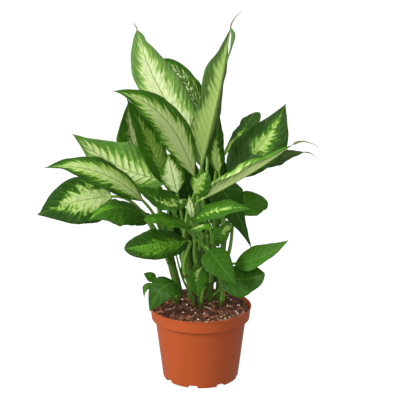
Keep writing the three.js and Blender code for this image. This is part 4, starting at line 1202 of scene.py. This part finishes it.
def leaf_piece(name, leaf, seed, tube, finishes):
    """A leaf of one skin, whose faces take the upper, under, stalk or withered finish by their place."""
    rings, stations = leaf_rings(leaf, seed)
    piece = tube.laid(f"foliage_{name}", rings)
    paint_leaf(piece, leaf, tube.places, stations, seed)
    for finish in finishes:
        piece.data.materials.append(finish)
    upper, under, stalk, withered = range(4)
    for face in piece.data.polygons:
        corners = [tube.places[v] for v in face.vertices]
        furthest = max(stations[ring] for ring, _ in corners)
        if furthest <= 0:
            face.material_index = stalk
        elif furthest > 1:
            face.material_index = withered
        else:
            face.material_index = upper if all(k < ACROSS_COUNT for _, k in corners) else under
    variegated = max(row[2] for row in leaf.pale) > 0.05
    settle(piece, "leaf_variegated" if variegated else "leaf_green", f"leaf_{name}")


def foliage(stalk_skin):
    finishes = [leaf_upper(), leaf_under(), stalk_skin, withered_tip()]
    plain_steps = STALK_STEPS + BLADE_STEPS
    plain, tailed = (Tube(2 * ACROSS_COUNT, steps) for steps in (plain_steps, plain_steps + TAIL_STEPS))
    for seed, (name, leaf) in enumerate(LEAVES.items()):
        leaf_piece(name, leaf, seed, tailed if leaf.tail else plain, finishes)
    for tube in (plain, tailed):
        bpy.data.objects.remove(tube.blank)


# What is too thin to be a part of its own, each with its slot, the points that it follows from its foot,
# and rows of a share of its length, its half width and its half thickness
THREADS = {
    "torn_margin": (
        "leaf_variegated",
        [(43, -12, 541), (47, -15, 530), (45.5, -18, 521), (43.5, -20, 512), (40, -22, 501),
         (36.5, -24, 490)],
        [(0, 0.7, 0.4), (0.16, 3, 0.5), (0.32, 3, 0.5), (0.5, 1.8, 0.4), (0.75, 1.2, 0.4), (1, 1, 0.4)]),
    "old_stalk": (
        "cane", [(-37, 10, 190), (-28, 12, 154), (-18, 16, 130), (-9, 22, 106)],
        [(0, 1.2, 1.2), (0.5, 1.8, 1.8), (1, 2, 2)]),
    "cut_stub": (
        "cane", [(5, 24, 104), (17, 22, 119), (30, 17, 133)],
        [(0, 2.6, 2.6), (0.6, 2.1, 2.1), (1, 1.7, 1.7)]),
    # The next leaf of a cane is still rolled up in a pointed shoot
    "shoot_tip_right": (
        "cane", [(22, 38, 224), (24, 38, 236), (27, 38, 252), (31, 37, 270)],
        [(0, 3, 3), (0.2, 8.5, 4), (0.45, 8, 4), (0.8, 3.2, 2), (1, 0.6, 0.6)]),
    "shoot_tip_left": (
        "cane", [(-52, 26, 220), (-56, 27, 236), (-60, 28, 250), (-64, 29, 264)],
        [(0, 3, 3), (0.25, 5.8, 4.5), (0.5, 5.2, 4), (0.8, 2.6, 2), (1, 0.6, 0.6)]),
}


def small_growths(skin, stalk_skin):
    """A torn leaf margin, an old stalk, a cut stub with a stalk's skin, and two rolled shoots."""
    tube = Tube(THREAD_SIDES, THREAD_STEPS)
    turns = [k / THREAD_SIDES * FULL_TURN for k in range(THREAD_SIDES)]
    for name, (slot, points, sizes) in THREADS.items():
        growth = Growth(points)
        rings = []
        for t in [i / THREAD_STEPS for i in range(THREAD_STEPS + 1)]:
            centre, along, _ = growth.at(t)
            side, other = cane_sides(along)
            wide, thick = row_at(sizes, t)
            rings.append([centre + side * wide * math.cos(a) + other * thick * math.sin(a) for a in turns])
        piece = tube.laid(name, rings)
        piece.data.materials.append(stalk_skin if name == "cut_stub" else skin)
        settle(piece, slot)
    bpy.data.objects.remove(tube.blank)


# Table, light and camera

def studio():
    """A backlit white acrylic table: nearly free of shadow, and no light of it reaches the part."""
    deselect()
    bpy.ops.mesh.primitive_plane_add(size=30)
    table = bpy.context.object
    table.name = "studio_floor"
    acrylic, _ = material(
        "white_acrylic", Roughness=0.9, Specular_IOR_Level=0.1, Base_Color=(0.25, 0.25, 0.25, 1),
        Emission_Color=(1, 1, 1, 1), Emission_Strength=0.9)
    table.data.materials.append(acrylic)
    table.visible_diffuse = False
    table.visible_glossy = False
    world = bpy.data.worlds.new("studio")
    bpy.context.scene.world = world
    world.use_nodes = True
    background = world.node_tree.nodes["Background"]
    background.inputs["Color"].default_value = (1, 1, 1, 1)
    background.inputs["Strength"].default_value = 0.45
    # Soft boxes: the main one from the front left, a weak one overhead and a weak one in front
    lamp("key", (-2.1, -1.35, 1.6), (0, 0, 0.25), 1.0, 82)
    lamp("top", (-0.2, 0.5, 2.4), (0, 0, 0.3), 1.0, 18)
    lamp("front", (0, -2.2, 1.2), (0, 0, 0.3), 1.2, 22)
    bpy.context.scene.view_settings.view_transform = "Standard"


def lamp(name, place, target, size, watts):
    light = bpy.data.lights.new(name, "AREA")
    light.size = size
    light.energy = watts
    holder = bpy.data.objects.new(name, light)
    holder.location = place
    holder.rotation_euler = (Vector(target) - Vector(place)).to_track_quat("-Z", "Y").to_euler()
    bpy.context.scene.collection.objects.link(holder)


def camera():
    """The photograph's view: 2.2 m off and 0.9 m up, looking 15.8 degrees down."""
    pitch = 15.8
    lens = bpy.data.cameras.new("camera")
    lens.lens = 135.6
    holder = bpy.data.objects.new("camera", lens)
    holder.location = (-0.0009, -2.164, 0.892)
    holder.rotation_euler = (math.radians(90 - pitch), 0, 0)
    bpy.context.scene.collection.objects.link(holder)
    bpy.context.scene.camera = holder


camera()
studio()
pot()
potting_mix()
cane_finish = cane_skin()
stalk_finish = leaf_stalk()
cane_pieces(cane_finish)
foliage(stalk_finish)
small_growths(cane_finish, stalk_finish)
